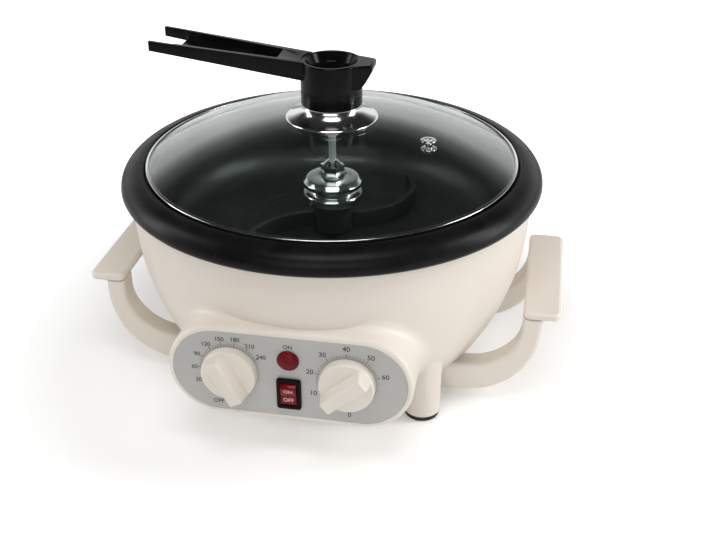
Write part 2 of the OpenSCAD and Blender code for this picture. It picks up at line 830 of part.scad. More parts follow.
module foot_pads() on_axis() color(black) at_corners(foot_x, foot_y) {
  post(foot_r, 0, foot_h);
  post(plug_r, 0, foot_h + plug_h);
}

// The side handles

// Outline of a leg in X and Z, from the tab under the bowl to the grip
module leg_outline() {
  polygon(concat(
    [[tab_in_x, tab_z]],
    arc(leg_bend_x, leg_bend_z, grip_inner_x + leg_top_t - leg_bend_x, leg_bend_z - tab_z, -90, 0),
    [[grip_inner_x + leg_top_t, grip_z - seat], [grip_inner_x, grip_z - seat]],
    arc(leg_bend_x, leg_bend_z, grip_inner_x - leg_bend_x, leg_bend_z - tab_z - leg_root_t, 0, -90),
    [[tab_in_x, tab_z + leg_root_t]]
  ));
}

// Tenon on top of a leg, or the pocket for it
module tenon(grow, rise) {
  length = leg_top_t - 2 * tenon_wall + 2 * grow;
  width = leg_w - 2 * tenon_wall + 2 * grow;
  translate([grip_inner_x + tenon_wall - grow, leg_y - width / 2, grip_z - seat])
    cube([length, width, rise]);
}

// Both legs of the right handle
module leg_pair() {
  for (j = [0, 1]) mirror([0, j, 0]) difference() {
    union() {
      translate([0, leg_y + leg_w / 2, 0]) rotate([90, 0, 0]) linear_extrude(height = leg_w) leg_outline();
      tenon(0, tenon_h);
    }
    bowl_block(seat);
    translate([screw_x, leg_y, 0]) post(screw_r + slip, tab_z - over, bowl_bottom_z + over);
  }
}

module grip() difference() {
  translate([grip_inner_x + grip_w / 2, 0, grip_z]) linear_extrude(height = grip_t)
    rounded(grip_w, grip_len, grip_corner_r);
  for (j = [0, 1]) mirror([0, j, 0]) tenon(slip, tenon_h + slip);
}

module left_handle_legs() on_axis() color(cream) mirror([1, 0, 0]) leg_pair();

module right_handle_legs() on_axis() color(cream) leg_pair();

module left_grip() on_axis() color(cream) mirror([1, 0, 0]) grip();

module right_grip() on_axis() color(cream) grip();

module handle_screws() on_axis() color(steel) at_corners(screw_x, leg_y) {
  post(head_r, tab_z - seat - head_h, tab_z - seat);
  post(screw_r, tab_z - seat - head_h, lip_top);
}

// The rim and the pan

module rim_ring() on_axis() color(black) rotate_extrude() polygon(concat(
  [[ledge_in_r, ledge_z], [ledge_in_r, ledge_top], [rim_in_r, ledge_top]],
  [[rim_in_r, crown_top - rim_wall / 2]],
  arc(crown_r, rim_wide_z, rim_r - crown_r, crown_top - rim_wide_z, 90, 0),
  arc(rim_r - hem_tuck, rim_wide_z, hem_tuck, hem_h, -bend_step, -90),
  arc(rim_r - hem_tuck, rim_wide_z, hem_tuck - rim_wall, hem_h - rim_wall, -90, -bend_step),
  arc(crown_r, rim_wide_z, rim_r - rim_wall - crown_r, crown_top - rim_wide_z - rim_wall, 0, 90),
  [[crown_r, ledge_z]]
));

module roasting_pan() on_axis() color(black) difference() {
  union() {
    rotate_extrude() polygon(concat(
      [[0, pan_bottom]],
      arc(pan_floor_r, pan_floor + pan_bend_r, pan_bend_r + pan_wall, pan_bend_r + pan_wall, -90, 0),
      [[pan_top_r + pan_wall, pan_lip_z], [neck_r, pan_lip_z]],
      [[neck_r, pan_lip_top], [pan_top_r, pan_lip_top]],
      arc(pan_floor_r, pan_floor + pan_bend_r, pan_bend_r, pan_bend_r, 0, -90),
      [[0, pan_floor]]
    ));
    post(boss_r, pan_bottom, boss_top);
  }
  post(bush_r + snug, pan_bottom - over, boss_top + over);
}

module shaft_bush() on_axis() color(brass) tube(bush_r, shaft_r + run, pan_bottom, boss_top);

// The heater

// Place copies just inside the two ends of the element's ring
module at_element_ends() {
  turn = element_open / 2 + asin(element_r / element_ring_r);
  for (i = [-1, 1]) rotate([0, 0, i * turn - 90]) translate([element_ring_r, 0, 0]) children();
}

module heating_element() on_axis() color(steel) {
  translate([0, 0, element_z]) rotate([0, 0, element_open / 2 - 90])
    rotate_extrude(angle = 360 - element_open) translate([element_ring_r, 0]) circle(r = element_r);
  at_element_ends() post(element_pin_r, element_z - element_drop, element_z);
}

module element_clips() on_axis() color(steel) around(3, element_ring_r, clip_turn) difference() {
  translate([0, clip_w / 2, element_z]) rotate([90, 0, 0]) linear_extrude(height = clip_w) {
    circle(r = element_r + slip + clip_t);
    translate([-element_r - 3 * clip_t, element_r - clip_t]) square([2 * element_r + 6 * clip_t, clip_t]);
  }
  translate([0, clip_w, element_z]) rotate([90, 0, 0]) cylinder(r = element_r + slip, h = 2 * clip_w);
  translate([-clip_w, -clip_w, element_z + element_r]) cube([2 * clip_w, 2 * clip_w, clip_w]);
}

module heat_shield() on_axis() color(steel) difference() {
  rotate_extrude() polygon([
    [shield_hole_r, shield_z], [shield_r - shield_edge, shield_z], [shield_r, shield_z + shield_edge],
    [shield_r - shield_t, shield_z + shield_edge], [shield_r - shield_edge - shield_t, shield_z + shield_t],
    [shield_hole_r, shield_z + shield_t]
  ]);
  around(3, post_mid_r, post_turn) post(post_r + slip, shield_z - over, shield_z + over);
  at_element_ends() post(element_pin_r + pass, shield_z - over, shield_z + over);
}

module pan_studs() on_axis() color(steel) around(3, post_mid_r, post_turn)
  post(post_r, motor_plate_z - post_nut_h - 2 * seat, pan_bottom - seat);

module stud_tubes() on_axis() color(steel) around(3, post_mid_r, post_turn) {
  tube(post_r + slip + tube_t, post_r + slip, motor_plate_top + seat, shield_z - seat);
  tube(post_r + slip + tube_t, post_r + slip, shield_z + shield_t + seat, pan_bottom - seat);
}

module stud_nuts() on_axis() color(steel) around(3, post_mid_r, post_turn) difference() {
  hexagon(post_nut_af, motor_plate_z - seat - post_nut_h, motor_plate_z - seat);
  post(post_r + snug, motor_plate_z - post_nut_h - over, motor_plate_z + over);
}

module thermal_cutout() on_axis() color(black) translate([-cutout_at, -cutout_at, 0])
  post(cutout_r, pan_bottom - seat - cutout_h, pan_bottom - seat);

// The gear motor

// Outline of the gear case, shrunk by a wall
module case_outline(wall) {
  length = case_x1 - case_x0 - 2 * wall;
  width = case_y1 - case_y0 - 2 * wall;
  translate([(case_x0 + case_x1) / 2, (case_y0 + case_y1) / 2])
    rounded(length, width, case_corner_r - wall);
}

// Place copies in the corners of the gear case
module case_corners() {
  xs = [case_x0 + case_corner_r, case_x1 - case_corner_r];
  ys = [case_y0 + case_corner_r, case_y1 - case_corner_r];
  for (x = xs, y = ys) translate([x, y, 0]) children();
}

module motor_plate() on_axis() color(steel) difference() {
  post(motor_plate_r, motor_plate_z, motor_plate_top);
  post(shaft_r + run, motor_plate_z - over, motor_plate_top + over);
  around(3, post_mid_r, post_turn) post(post_r + slip, motor_plate_z - over, motor_plate_top + over);
  case_corners() post(case_screw_r + slip, motor_plate_z - over, motor_plate_top + over);
  translate([idler_x, idler_y, 0]) post(axle_r + snug, motor_plate_z - over, motor_plate_top + over);
}

module gear_case() on_axis() color(black) difference() {
  union() {
    translate([0, 0, case_z]) linear_extrude(height = motor_plate_z - seat - case_z) difference() {
      case_outline(0);
      case_outline(case_wall);
    }
    translate([0, 0, case_z]) linear_extrude(height = case_wall) case_outline(case_wall / 2);
    case_corners() post(case_screw_r + case_wall, case_z, motor_plate_z - seat);
    post(shaft_r + run + bearing_wall, case_z, first_z + wheel_t);
    translate([idler_x, idler_y, 0]) post(axle_r + bearing_wall, case_z, first_z - seat);
    translate([motor_x, 0, 0]) post(axle_r + run + bearing_wall, case_z, first_z - gear_gap / 2);
  }
  post(shaft_r + run, case_floor_top, motor_plate_z);
  translate([idler_x, idler_y, 0]) post(axle_r + snug, case_z + seat, motor_plate_z);
  translate([motor_x, 0, 0]) post(axle_r + run, case_z - over, motor_plate_z);
  case_corners() post(case_screw_r + snug, case_floor_top, motor_plate_z);
}

module case_screws() on_axis() color(steel) case_corners() {
  post(case_screw_r, case_floor_top + seat, motor_plate_top + seat + case_head_h);
  post(case_screw_r + case_wall, motor_plate_top + seat, motor_plate_top + seat + case_head_h);
}

module motor_can() on_axis() color(steel) translate([motor_x, 0, 0]) difference() {
  post(can_r, can_z, case_z - seat);
  post(can_r - can_wall, can_floor_top, case_z + over);
  post(axle_r + run, can_floor_top - can_wall, case_z);
}

module motor_coil() on_axis() color(brass) translate([motor_x, 0, 0])
  tube(coil_r, coil_hole_r, can_floor_top + seat, case_z - 2 * seat);

module idler_pin() on_axis() color(steel) translate([idler_x, idler_y, 0])
  post(axle_r, case_z + 2 * seat, motor_plate_top);

module motor_rotor() on_axis() color(grey) translate([motor_x, 0, 0]) {
  post(axle_r, can_floor_top - can_wall + seat, first_z + wheel_t + seat);
  post(magnet_r, can_floor_top + magnet_gap, case_z - magnet_gap);
  translate([0, 0, first_z]) linear_extrude(height = wheel_t)
    gear(pinion_teeth, first_module, first_pinion_phase);
}

module idler_gear() on_axis() color(white) translate([idler_x, idler_y, 0]) difference() {
  union() {
    translate([0, 0, first_z]) linear_extrude(height = wheel_t)
      gear(wheel_teeth, first_module, wheel_phase);
    translate([0, 0, first_z]) linear_extrude(height = gears_top - first_z)
      gear(pinion_teeth, second_module, second_pinion_phase);
  }
  post(axle_r + run, first_z - over, gears_top + over);
}

module output_gear() on_axis() color(white) difference() {
  translate([0, 0, second_z]) linear_extrude(height = wheel_t)
    gear(output_teeth, second_module, output_phase);
  post(shaft_r + snug, second_z - over, gears_top + over);
}

// The stirrer

// Drive shaft with a flat on its upper part, or the bore that fits it
module shaft_form(grow) difference() {
  post(shaft_r + grow, shaft_z, shaft_top + grow);
  translate([shaft_r * flat_share + grow, -shaft_r - over, sleeve_roof - grow])
    cube([shaft_r, 2 * shaft_r + 2 * over, shaft_top]);
}

module drive_shaft() on_axis() color(steel) shaft_form(0);

module stirrer_blades() on_axis() color(black) difference() {
  union() {
    post(sleeve_r, blade_z, sleeve_top);
    for (i = [0, 180]) rotate([0, 0, i]) translate([0, blade_bend_r, blade_z]) rotate([0, 0, -90])
      rotate_extrude(angle = blade_sweep) translate([blade_bend_r - blade_t / 2, 0])
        square([blade_t, blade_h]);
  }
  post(sleeve_in_r, blade_z - over, sleeve_roof);
  shaft_form(snug);
}

module stirrer_hub() on_axis() color(steel) difference() {
  rotate_extrude() polygon([
    [0, hub_z], [hub_r - seat, hub_z], [hub_r, hub_z + disc_h / 2], [hub_r - seat, groove_z],
    [groove_r, groove_z], [groove_r, upper_disc_z], [hub_r, upper_disc_z],
    [hub_r, upper_disc_z + disc_h / 2], [hub_r - disc_h / 2, hub_top], [0, hub_top]
  ]);
  shaft_form(snug);
}

module hub_nut() on_axis() color(steel) difference() {
  union() {
    hexagon(hub_nut_af, hub_nut_z, hub_nut_z + hub_nut_h * hub_nut_cone_share);
    translate([0, 0, hub_nut_z + hub_nut_h * hub_nut_cone_share])
      cylinder(d1 = hub_nut_af, d2 = 2 * shaft_r, h = hub_nut_h * (1 - hub_nut_cone_share));
  }
  post(shaft_r + snug, hub_nut_z - over, shaft_top + seat);
}

// The control panel

// Holes for the dials' necks, the lamp and the switch, in the panel's own plane
module panel_holes(grow) {
  for (i = [-1, 1]) translate([i * dial_x, dial_z]) circle(r = thread_r + grow);
  translate([0, lamp_z]) circle(r = barrel_r + grow);
  translate([0, switch_z]) square([opening_w + 2 * grow, opening_h + 2 * grow], center = true);
}

module control_housing() on_axis() color(cream) difference() {
  to_front(0) {
    linear_extrude(height = housing_front) difference() {
      translate([0, fascia_z]) obround(housing_w, housing_h);
      translate([0, fascia_z]) obround(fascia_w + 2 * slip, fascia_h + 2 * slip);
    }
    translate([0, 0, front_wall_back]) linear_extrude(height = front_wall) difference() {
      translate([0, fascia_z]) obround(fascia_w + border, fascia_h + border);
      panel_holes(pass);
    }
  }
  bowl_block(seat);
}

module fascia_plate() on_axis() color(grey) to_front(fascia_y - fascia_t)
  linear_extrude(height = fascia_t) difference() {
    translate([0, fascia_z]) obround(fascia_w, fascia_h);
    panel_holes(slip);
  }

// Body behind the panel with a threaded neck for a dial's shaft
module dial_body(size, depth) {
  to_front(0) difference() {
    union() {
      translate([0, 0, body_y - depth]) linear_extrude(height = depth)
        square([size, size], center = true);
      post(thread_r, body_y - over, thread_top);
    }
    post(spindle_r + run, body_y - depth + over, thread_top + over);
  }
}

// Shaft from a dial's body into its dial
module spindle(depth) {
  to_front(0) post(spindle_r, body_y - depth + over + seat, spindle_top);
}

// Dial with a bar across its face, drawn facing the front
module dial(angle) {
  to_front(0) difference() {
    union() {
      post(dial_r, dial_back, dial_back + skirt_h);
      intersection() {
        post(dial_r * bar_length_share, dial_back, dial_front);
        rotate([0, 0, angle]) translate([-dial_r, -bar_w / 2, dial_back])
          cube([2 * dial_r, bar_w, dial_front - dial_back]);
      }
    }
    post(dial_room_r, dial_back - over, thread_top + pass);
    post(spindle_r + snug, dial_back - over, spindle_top + seat);
  }
}

module thermostat_body() on_axis() color(white) translate([-dial_x, 0, dial_z])
  dial_body(thermostat_size, thermostat_depth);

module thermostat_spindle() on_axis() color(steel) translate([-dial_x, 0, dial_z])
  spindle(thermostat_depth);

module temperature_dial() on_axis() color(cream) translate([-dial_x, 0, dial_z]) dial(left_bar_angle);

module timer_body() on_axis() color(white) translate([dial_x, 0, dial_z])
  dial_body(timer_size, timer_depth);

module timer_spindle() on_axis() color(steel) translate([dial_x, 0, dial_z]) spindle(timer_depth);

module timer_dial() on_axis() color(cream) translate([dial_x, 0, dial_z]) dial(right_bar_angle);

module neck_nuts() on_axis() color(steel) for (i = [-1, 1]) translate([i * dial_x, 0, dial_z]) to_front(0)
  difference() {
    rotate([0, 0, neck_nut_turn]) hexagon(neck_nut_af, fascia_y + seat, fascia_y + seat + neck_nut_h);
    post(thread_r + snug, fascia_y - over, thread_top + over);
  }

// Bulb under the pan, with its fine tube to the thermostat
module thermostat_bulb() on_axis() color(brass) {
  z = pan_bottom - slip - bulb_r;
  under_z = element_z - element_r - 2 * capillary_r;
  back_y = body_y - thermostat_depth;
  edge_y = sqrt(pow(shield_r, 2) - pow(dial_x, 2));
  out_y = (edge_y + back_y) / 2;
  x = -dial_x;
  bar([bulb_len / 2, -bulb_y, z], [-bulb_len / 2, -bulb_y, z], bulb_r);
  wire([
    [-bulb_len / 2 - seat, -bulb_y, z], [-bulb_len / 2 - 2 * bulb_r, bulb_r - bulb_y, under_z],
    [x, -out_y, under_z], [x, -out_y, dial_z], [x, seat - back_y, dial_z]
  ], capillary_r);
}

module switch_housing() on_axis() color(black) translate([0, 0, switch_z]) difference() {
  to_front(0) {
    translate([0, 0, fascia_y + seat]) linear_extrude(height = bezel_t)
      rounded(bezel_w, bezel_h, bezel_side);
    translate([0, 0, fascia_y - switch_depth]) linear_extrude(height = switch_depth + over / 2)
      square([opening_w, opening_h], center = true);
  }
  rocker_block(slip);
  to_front(fascia_y - bezel_t) linear_extrude(height = bowl_top_r)
    square([rocker_w + 2 * slip, 2 * rocker_r + 2 * slip], center = true);
}

// Round block with pivot pins that the rocker is cut from, or the room for it
module rocker_block(grow) {
  pin = grow > 0 ? run : 0;
  translate([0, -rocker_y, 0]) rotate([0, 90, 0]) {
    cylinder(r = rocker_r + grow, h = rocker_w + 2 * grow, center = true);
    cylinder(r = pivot_r + pin, h = rocker_w + 2 * pivot_len + pin, center = true);
  }
}

module switch_rocker() on_axis() color(red) translate([0, 0, switch_z]) difference() {
  rocker_block(0);
  translate([0, -rocker_y, 0]) rotate([rocker_tilt, 0, 0]) for (i = [0, 1]) mirror([0, 0, i])
    translate([-rocker_w, -rocker_dish - pivot_r - bezel_t, 0]) rotate([rocker_tilt, 0, 0])
      translate([0, -rocker_r, -seat]) cube([2 * rocker_w, rocker_r, 2 * rocker_r]);
}

module lamp_lens() on_axis() color(red) translate([0, 0, lamp_z]) to_front(0) intersection() {
  post(lens_r, fascia_y + seat, fascia_y + seat + lens_h);
  translate([0, 0, fascia_y + lens_h - lens_r / lens_dome_share]) sphere(r = lens_r / lens_dome_share);
}

module lamp_barrel() on_axis() color(white) translate([0, 0, lamp_z]) to_front(0)
  post(barrel_r, fascia_y - barrel_len, fascia_y);

// The supply

module terminal_block() on_axis() color(white) rotate([0, 0, 135])
  translate([block_mid_r, 0, plate_top + seat]) linear_extrude(height = block_h)
    square([block_w, block_len], center = true);

// Leads from the motor and the switch to the terminal block
module wires() on_axis() color(red) {
  top = plate_top + block_h + 2 * seat;
  mid = block_mid_r * [-cos(45), sin(45)];
  step = block_len / 3 * [cos(45), sin(45)];
  motor = mid;
  switch = mid - step;
  can_mid = can_z + can_h / 2;
  can_x = motor_x - can_r - seat;
  wire([
    [motor[0], motor[1], top], [motor[0], motor[1], gland_z],
    [can_x - block_w, 0, can_mid], [can_x, 0, can_mid]
  ], wire_r);
  wire([
    [switch[0], switch[1], top], [switch[0], switch[1], gland_z], [-vent_mid_r - block_w, 0, gland_z],
    [-dial_x, -element_ring_r, switch_z], [0, switch_depth + block_w - fascia_y, switch_z],
    [0, switch_depth + seat - fascia_y, switch_z]
  ], wire_r);
}

module cord_gland() on_axis() color(black) translate([0, 0, gland_z]) to_front(0) difference() {
  union() {
    post(gland_collar_r, -gland_boss_y - gland_collar_len, -gland_boss_y - seat);
    post(gland_r, -gland_boss_y - gland_collar_len, -gland_end_y);
  }
  post(cord_hole_r, -gland_boss_y - gland_collar_len - over, over - gland_end_y);
}

module gland_nut() on_axis() color(black) translate([0, 0, gland_z]) to_front(0) difference() {
  hexagon(2 * gland_collar_r, -gland_nut_y, gland_nut_h - gland_nut_y);
  post(gland_r + snug, -gland_boss_y, -gland_end_y);
}

// The lid

module lid_glass() on_axis() color(glass) difference() {
  rotate_extrude() polygon(concat(
    dome_line(stud_hole_r, glass_r, 0),
    [for (i = [curve_steps : -1 : 0]) dome_line(stud_hole_r, glass_r, -glass_t)[i]]
  ));
  translate([vent_x, -vent_y, 0]) post(eyelet_hole_r + eyelet_t + slip, lid_z, glass_top);
}

module lid_band() on_axis() color(steel) rotate_extrude() polygon([
  [lid_r - band_w, lid_z], [lid_r, lid_z], [lid_r, dome_z(glass_r) + band_t],
  [lid_r - band_fold, dome_z(lid_r - band_fold) + seat + band_t],
  [lid_r - band_fold, dome_z(lid_r - band_fold) + seat], [lid_r - band_t, dome_z(glass_r) + seat],
  [lid_r - band_t, lid_z + band_t], [lid_r - band_w, lid_z + band_t]
]);

module vent_eyelet() on_axis() color(steel) translate([vent_x, -vent_y, 0]) {
  r = norm([vent_x, vent_y]);
  top = dome_z(r - eyelet_r) + seat;
  under = dome_z(r + eyelet_r) - glass_t - seat;
  tube(eyelet_r, eyelet_hole_r, top, top + eyelet_t);
  tube(eyelet_hole_r + eyelet_t, eyelet_hole_r, under - eyelet_t, top + eyelet_t);
  tube(eyelet_r, eyelet_hole_r, under - eyelet_t, under);
}

module lid_flange() on_axis() color(steel) rotate_extrude() polygon(concat(
  [[flange_r - flange_t, flange_z], [flange_r, flange_z]],
  arc(flange_r, flange_top, flange_r - stem_r, flange_h - flange_t, -90, -180),
  [[stem_r, flange_top], [stud_hole_r, flange_top], [stud_hole_r, flange_top - flange_t]],
  arc(flange_r - flange_t, flange_top - flange_t, flange_r - stem_r, flange_h - 2 * flange_t, -180, -90)
));

module lid_spacer() on_axis() color(black)
  tube(spacer_r, stud_hole_r, glass_top + seat, flange_top - flange_t - seat);

module lid_stud() on_axis() color(steel) tube(stud_r, rod_r + run, stud_z, stud_top);

module lid_washer() on_axis() color(black) tube(spacer_r, stud_hole_r, washer_z, washer_z + washer_t);

module lid_nut() on_axis() color(steel) difference() {
  hexagon(stud_nut_af, stud_nut_z, stud_nut_z + stud_nut_h);
  post(stud_r + snug, stud_nut_z - over, stud_nut_z + stud_nut_h + over);
}

// Side view of the arm, lifted off its floor, in X and Z
module arm_side(lift) {
  root_x = -stem_r / 2;
  polygon([
    [root_x, cup_top - arm_root_h + lift], [root_x, cup_top], [-arm_reach, cup_top + arm_rise],
    [-arm_reach, cup_top + arm_rise - arm_end_h + lift]
  ]);
}

// Plan of the arm inside its walls
module arm_plan(wall, from) {
  root = arm_root_w / 2 - wall;
  end = arm_end_w / 2 - wall;
  polygon([[from, -root], [from, root], [-arm_reach, end], [-arm_reach, -end]]);
}

// Bar with the arm's side view and plan
module arm_bar(wall, lift, from) intersection() {
  translate([0, arm_end_w, 0]) rotate([90, 0, 0]) linear_extrude(height = 2 * arm_end_w) arm_side(lift);
  translate([0, 0, stem_z]) linear_extrude(height = 2 * cup_h + arm_rise) arm_plan(wall, from);
}

// Lip for the thumb opposite the arm, from its plan and its side view
module thumb_lip() intersection() {
  translate([0, 0, stem_z]) linear_extrude(height = cup_top - stem_z) polygon([
    [0, -lip_root_w / 2], [lip_reach, -lip_tip_w / 2], [lip_reach, lip_tip_w / 2], [0, lip_root_w / 2]
  ]);
  translate([0, stem_r, 0]) rotate([90, 0, 0]) linear_extrude(height = 2 * stem_r) polygon([
    [0, cup_top - lip_h], [stem_r, cup_top - lip_h], [lip_reach, cup_top - lip_t],
    [lip_reach, cup_top], [0, cup_top]
  ]);
}

module lid_handle() on_axis() color(black) difference() {
  union() {
    post(stem_r, stem_z, cup_top);
    thumb_lip();
    arm_bar(0, 0, -stem_r / 2);
  }
  translate([0, 0, over]) arm_channel();
  rotate_extrude() polygon([
    [0, cup_top - cup_depth], [dish_r * dish_floor_share, cup_top - cup_depth],
    [dish_r, cup_top], [dish_r, cup_top + arm_rise], [0, cup_top + arm_rise]
  ]);
  post(stud_r + snug, stem_z - over, stud_top + over);
  post(spring_room_r, stud_top, spring_room_top);
  translate([-arm_reach - over, -arm_end_w / 2 + arm_wall, stem_z])
    cube([notch_len + over, arm_end_w - 2 * arm_wall, 2 * cup_h + arm_rise]);
}

// Hollow of the arm between its walls
module arm_channel() {
  arm_bar(arm_wall, arm_wall, -stem_r - arm_web);
}

module hold_down_rod() on_axis() color(steel) {
  post(rod_r, rod_z, rod_top);
  post(collar_r, collar_z, collar_z + collar_t);
}

module rod_spring() on_axis() color(steel)
  tube(
    rod_r + run + spring_t + seat, rod_r + run + seat, collar_z + collar_t + seat, spring_room_top - seat
  );

outer_shell();
control_housing();
fascia_plate();
base_plate();
foot_pads();
left_handle_legs();
right_handle_legs();
left_grip();
right_grip();
handle_screws();
rim_ring();
roasting_pan();
shaft_bush();
heating_element();
element_clips();
heat_shield();
pan_studs();
stud_tubes();
stud_nuts();
thermal_cutout();
motor_plate();
gear_case();
case_screws();
motor_can();
motor_coil();
idler_pin();
motor_rotor();
idler_gear();
output_gear();
drive_shaft();
stirrer_blades();
stirrer_hub();
hub_nut();
thermostat_body();
thermostat_bulb();
thermostat_spindle();
temperature_dial();
timer_body();
timer_spindle();
timer_dial();
neck_nuts();
switch_housing();
switch_rocker();
lamp_lens();
lamp_barrel();
terminal_block();
wires();
cord_gland();
gland_nut();
lid_glass();
lid_band();
vent_eyelet();
lid_flange();
lid_spacer();
lid_handle();
lid_stud();
lid_washer();
lid_nut();
hold_down_rod();
rod_spring();
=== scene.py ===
"""Dresses a chestnut roaster: models its visible pieces over the CAD frame and finishes every surface."""
import json
import math

import bpy
from mathutils import Matrix, Vector

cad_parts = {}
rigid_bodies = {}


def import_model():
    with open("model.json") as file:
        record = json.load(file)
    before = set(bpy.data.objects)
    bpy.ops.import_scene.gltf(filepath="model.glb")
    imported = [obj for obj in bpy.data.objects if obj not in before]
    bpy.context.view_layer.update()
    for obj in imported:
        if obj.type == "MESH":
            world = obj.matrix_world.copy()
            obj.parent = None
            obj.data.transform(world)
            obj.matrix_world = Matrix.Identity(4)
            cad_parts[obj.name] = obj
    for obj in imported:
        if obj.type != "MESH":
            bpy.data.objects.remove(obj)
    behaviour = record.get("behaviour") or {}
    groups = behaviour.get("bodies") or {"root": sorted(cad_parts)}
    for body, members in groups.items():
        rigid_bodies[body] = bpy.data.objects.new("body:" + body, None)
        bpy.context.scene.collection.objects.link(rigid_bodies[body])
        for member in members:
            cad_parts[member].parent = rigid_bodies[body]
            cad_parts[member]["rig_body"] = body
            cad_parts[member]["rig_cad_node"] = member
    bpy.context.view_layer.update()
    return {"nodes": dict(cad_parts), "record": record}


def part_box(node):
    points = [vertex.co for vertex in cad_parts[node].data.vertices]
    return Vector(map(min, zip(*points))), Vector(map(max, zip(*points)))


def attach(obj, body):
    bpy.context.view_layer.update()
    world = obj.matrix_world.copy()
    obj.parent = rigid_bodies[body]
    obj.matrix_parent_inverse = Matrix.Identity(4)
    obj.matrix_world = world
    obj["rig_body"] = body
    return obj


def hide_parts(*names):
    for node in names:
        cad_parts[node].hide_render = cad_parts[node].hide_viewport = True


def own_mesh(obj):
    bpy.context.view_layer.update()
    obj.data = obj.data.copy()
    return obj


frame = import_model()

bl_info = {
    "name": "Chestnut roaster",
    "version": (1, 0, 0),
    "blender": (4, 5, 0),
    "location": "3D View > Sidebar > Roaster",
    "description": "Models and finishes the pieces of a countertop chestnut roaster over its CAD frame",
    "category": "Mesh",
}

# Places read from the CAD frame
MM = 0.001
RIM_LOW, RIM_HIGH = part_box("rim_ring")
AXIS_Y = (RIM_LOW.y + RIM_HIGH.y) / 2
AXIS_MM = AXIS_Y / MM
SHELL_LOW, SHELL_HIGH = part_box("outer_shell")
BOWL_TOP_R = SHELL_HIGH.x / MM
NECK_TOP = SHELL_HIGH.z / MM
FASCIA_LOW, FASCIA_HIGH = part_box("fascia_plate")
FASCIA_Y = (AXIS_Y - FASCIA_LOW.y) / MM
FASCIA_Z = (FASCIA_LOW.z + FASCIA_HIGH.z) / 2 / MM
FASCIA_W = (FASCIA_HIGH.x - FASCIA_LOW.x) / MM
FASCIA_H = (FASCIA_HIGH.z - FASCIA_LOW.z) / MM
GLASS_LOW, GLASS_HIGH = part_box("lid_glass")
GLASS_R = GLASS_HIGH.x / MM
SLOT_OF = {part["node"]: part["material_slot"] for part in frame["record"]["subparts"]}

# Sizes that several pieces share, in millimetres, and the dials' rest angles in degrees
BOWL_FOOT_R = 101
BOWL_FOOT_Z = 13
BOWL_TOP_Z = 141.5
NECK_STEP = 3.5
FOOT_R = 12
GLASS_T = 4
DOME_RISE = 31.5
STEM_R = 21.5
TEMPERATURE_REST = 118
TIMER_REST = 40


class RoasterSizes(bpy.types.PropertyGroup):
    """Sizes of the roundings and small details that the CAD frame leaves out."""

    turn_steps: bpy.props.IntProperty(
        name="Turning steps", description="Faces around a large turned piece", default=128, min=32, max=256)
    bowl_fullness: bpy.props.FloatProperty(
        name="Bowl fullness", description="Power of the curve by which the bowl swells out", default=2.5,
        min=1.5, max=4)
    shell_wall: bpy.props.FloatProperty(
        name="Shell wall", description="Wall thickness of the bowl", default=0.003, unit="LENGTH")
    bowl_round: bpy.props.FloatProperty(
        name="Bowl edge", description="Rounding of the bowl's edges", default=0.0014, unit="LENGTH")
    housing_round: bpy.props.FloatProperty(
        name="Housing edge", description="Rounding of the control housing's front edge", default=0.0026,
        unit="LENGTH")
    housing_fillet: bpy.props.FloatProperty(
        name="Housing fillet", description="Rounding between the control housing and the bowl",
        default=0.008, unit="LENGTH")
    leg_round: bpy.props.FloatProperty(
        name="Leg edge", description="Rounding of the handle legs' edges", default=0.0035, unit="LENGTH")
    grip_round: bpy.props.FloatProperty(
        name="Grip edge", description="Rounding of the grips' edges", default=0.0022, unit="LENGTH")
    dial_round: bpy.props.FloatProperty(
        name="Dial edge", description="Rounding of the dials' edges", default=0.0012, unit="LENGTH")
    number_height: bpy.props.FloatProperty(
        name="Number height", description="Height of the printed numbers", default=0.0036, unit="LENGTH")
    tick_length: bpy.props.FloatProperty(
        name="Tick length", description="Length of the printed scale lines", default=0.0022, unit="LENGTH")
    handle_round: bpy.props.FloatProperty(
        name="Handle edge", description="Rounding of the lid handle's edges", default=0.0009, unit="LENGTH")
    coil_wire: bpy.props.FloatProperty(
        name="Spring wire", description="Radius of the hold-down spring's wire", default=0.00045,
        unit="LENGTH")


